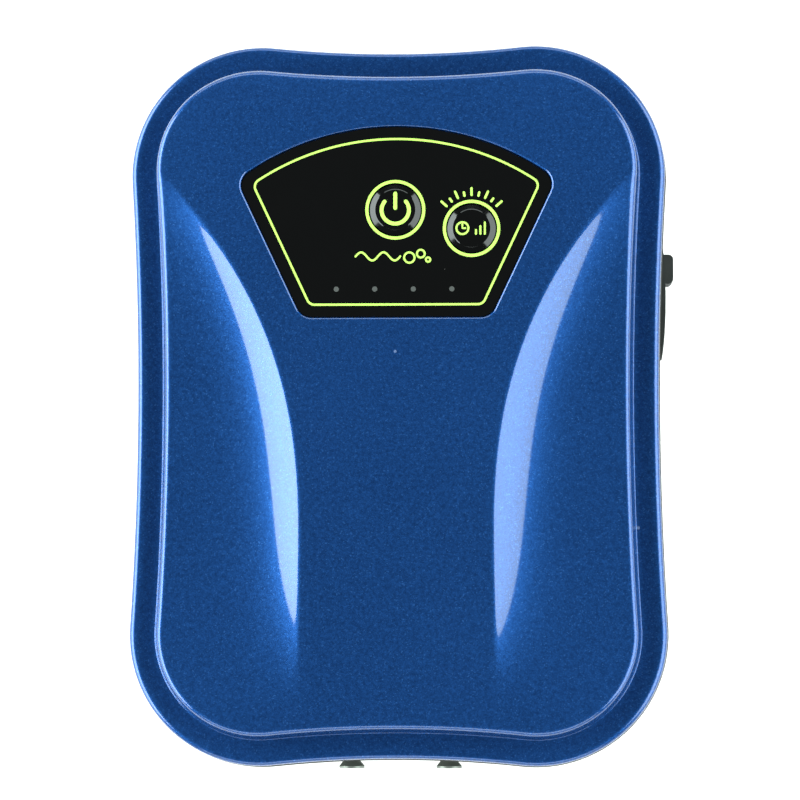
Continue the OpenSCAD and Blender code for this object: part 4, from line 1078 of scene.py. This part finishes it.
def winding_tree():
    """Repeats one round turn of wire along a line."""
    g, f = new_geometry_tree("coil_turns", {
        "Radius": "Float", "Wire": "Float", "Turns": "Int", "Pitch": "Float", "Material": "Material"})
    ring, section = (
        g.node("GeometryNodeCurvePrimitiveCircle", {"mode": "RADIUS"}, {"Resolution": count, "Radius": radius})
        for count, radius in ((48, f["Radius"]), (8, f["Wire"])))
    turn = g.node("GeometryNodeCurveToMesh", None, {"Curve": ring, "Profile Curve": section})
    offset = g.node("ShaderNodeCombineXYZ", None, [f["Pitch"], 0, 0])
    line = g.node("GeometryNodeMeshLine", None, {"Count": f["Turns"], "Offset": offset})
    turns = g.node("GeometryNodeInstanceOnPoints", None,
                   {"Points": line, "Instance": turn, "Rotation": (0, math.pi / 2, 0)})
    end_tree(g, join(g, f["Geometry"], turns), f["Material"])
    return g


class PUMP_OT_coil(bpy.types.Operator):
    """Winds the coil's outer layer of enamelled wire"""
    bl_idname = "pump.coil"
    bl_label = "Wind Coil"

    def execute(self, context):
        low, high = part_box("coil_winding")
        at, radius = middle(low, high), (high.z - low.z) / 2
        wire = 0.25 * MM
        span = high.x - low.x - 2 * wire
        turns = round(span / (2 * wire))

        def drum(bm):
            bore, core_r = 6.45 * MM, radius - wire
            section = ((low.x, bore), (low.x, core_r), (high.x, core_r), (high.x, bore))
            rings = [[bm.verts.new((x, y, z)) for y, z in circle(at.y, at.z, r, 48)] for x, r in section]
            wrap_rings(bm, rings + rings[:1])

        core = tool_object("coil_drum", drum)
        core.data.transform(Matrix.Translation((-low.x - wire, -at.y, -at.z)))
        material = material_of("copper")
        mesh = run_tree(core, winding_tree(), {"Radius": radius - wire, "Wire": wire, "Turns": turns,
                                               "Pitch": span / (turns - 1), "Material": material})
        remove_object(core)
        mesh.transform(Matrix.Translation((low.x + wire, at.y, at.z)))
        ready_piece("copper_turns", mesh, "case", "copper", material, "coil_winding")
        return {"FINISHED"}


def area_light(name, place, aim, width, height, power, tone):
    data = bpy.data.lights.new(name, "AREA")
    data.shape = "RECTANGLE"
    data.size, data.size_y = width, height
    data.energy = power
    data.color = tone
    obj = add_object(name, data)
    turn = (Vector(aim) - Vector(place)).to_track_quat("-Z", "Y")
    obj.matrix_world = Matrix.Translation(place) @ turn.to_matrix().to_4x4()
    return obj


class PUMP_OT_stage(bpy.types.Operator):
    """Sets the floor, the lights and the camera"""
    bl_idname = "pump.stage"
    bl_label = "Set Stage"

    def execute(self, context):
        scene, stage = context.scene, context.scene.pump_stage
        scene.view_settings.view_transform = "Standard"
        floor_half, tint = 6, (0.88, 1, 0.98)
        corners = [(x * floor_half, y * floor_half, 0) for x, y in ((-1, -1), (1, -1), (1, 1), (-1, 1))]
        mesh = bpy.data.meshes.new("floor")
        mesh.from_pydata(corners, [], [(0, 1, 2, 3)])
        mesh.materials.append(matt_floor("pale_floor", (0.80, 0.77, 0.76)))
        add_object("floor", mesh)
        world = bpy.data.worlds.new("soft_room")
        world.use_nodes = True
        world.node_tree.nodes["Background"].inputs["Color"].default_value = (0.5, 0.55, 0.62, 1)
        world.node_tree.nodes["Background"].inputs["Strength"].default_value = 0.08
        scene.world = world
        centre = Vector((0, 0, 0.03))
        for name, place, width, tall, power in (
                ("side_strip", (-0.46, 0.02, 0.26), 0.86, 0.36, stage.side_power),
                ("side_strip", (0.46, 0.02, 0.31), 0.86, 0.46, stage.side_power * 0.8),
                ("foot_strip", (0, -0.5, 0.22), 0.6, 0.2, 1.6),
                ("head_strip", (0, 0.55, 0.22), 0.6, 0.2, 1.6)):
            area_light(name, place, centre, width, tall, power, tint)
        data = bpy.data.cameras.new("camera")
        data.sensor_width = 36
        data.lens = 36 * stage.distance / stage.view_width
        camera = add_object("camera", data)
        back = Vector((math.sin(stage.swing), -math.sin(stage.tilt), 0))
        back.z = math.sqrt(1 - back.length_squared)
        aim = Vector((0.34 * MM, 0.87 * MM, context.scene.pump_case.ledge_height - 3 * MM))
        right = Vector((0, 1, 0)).cross(back).normalized()
        up = back.cross(right)
        turn = Matrix((right, up, back)).transposed().to_4x4()
        camera.matrix_world = Matrix.Translation(aim + back * stage.distance) @ turn
        scene.camera = camera
        return {"FINISHED"}


OPERATORS = (PUMP_OT_finishes, PUMP_OT_front_shell, PUMP_OT_rear_shell, PUMP_OT_seal, PUMP_OT_panel_marks,
             PUMP_OT_button_marks, PUMP_OT_coil, PUMP_OT_stage)


class PUMP_PT_panel(bpy.types.Panel):
    """Lists the steps and the sizes in the sidebar"""
    bl_label = "Air Pump"
    bl_idname = "PUMP_PT_panel"
    bl_space_type = "VIEW_3D"
    bl_region_type = "UI"
    bl_category = "Air Pump"

    def draw(self, context):
        for operator in OPERATORS:
            self.layout.operator(operator.bl_idname)
        for label in GROUPS:
            box = self.layout.box()
            settings = getattr(context.scene, label)
            for name in setting_names(settings):
                box.prop(settings, name)


CLASSES = (*GROUPS.values(), *OPERATORS, PUMP_PT_panel)


def register():
    for cls in CLASSES:
        bpy.utils.register_class(cls)
    for label, cls in GROUPS.items():
        setattr(bpy.types.Scene, label, bpy.props.PointerProperty(type=cls))


def unregister():
    for label in GROUPS:
        delattr(bpy.types.Scene, label)
    for cls in reversed(CLASSES):
        bpy.utils.unregister_class(cls)


def main():
    """Runs every step in order."""
    register()
    for operator in OPERATORS:
        group, name = operator.bl_idname.split(".")
        getattr(getattr(bpy.ops, group), name)()


if __name__ == "__main__":
    main()
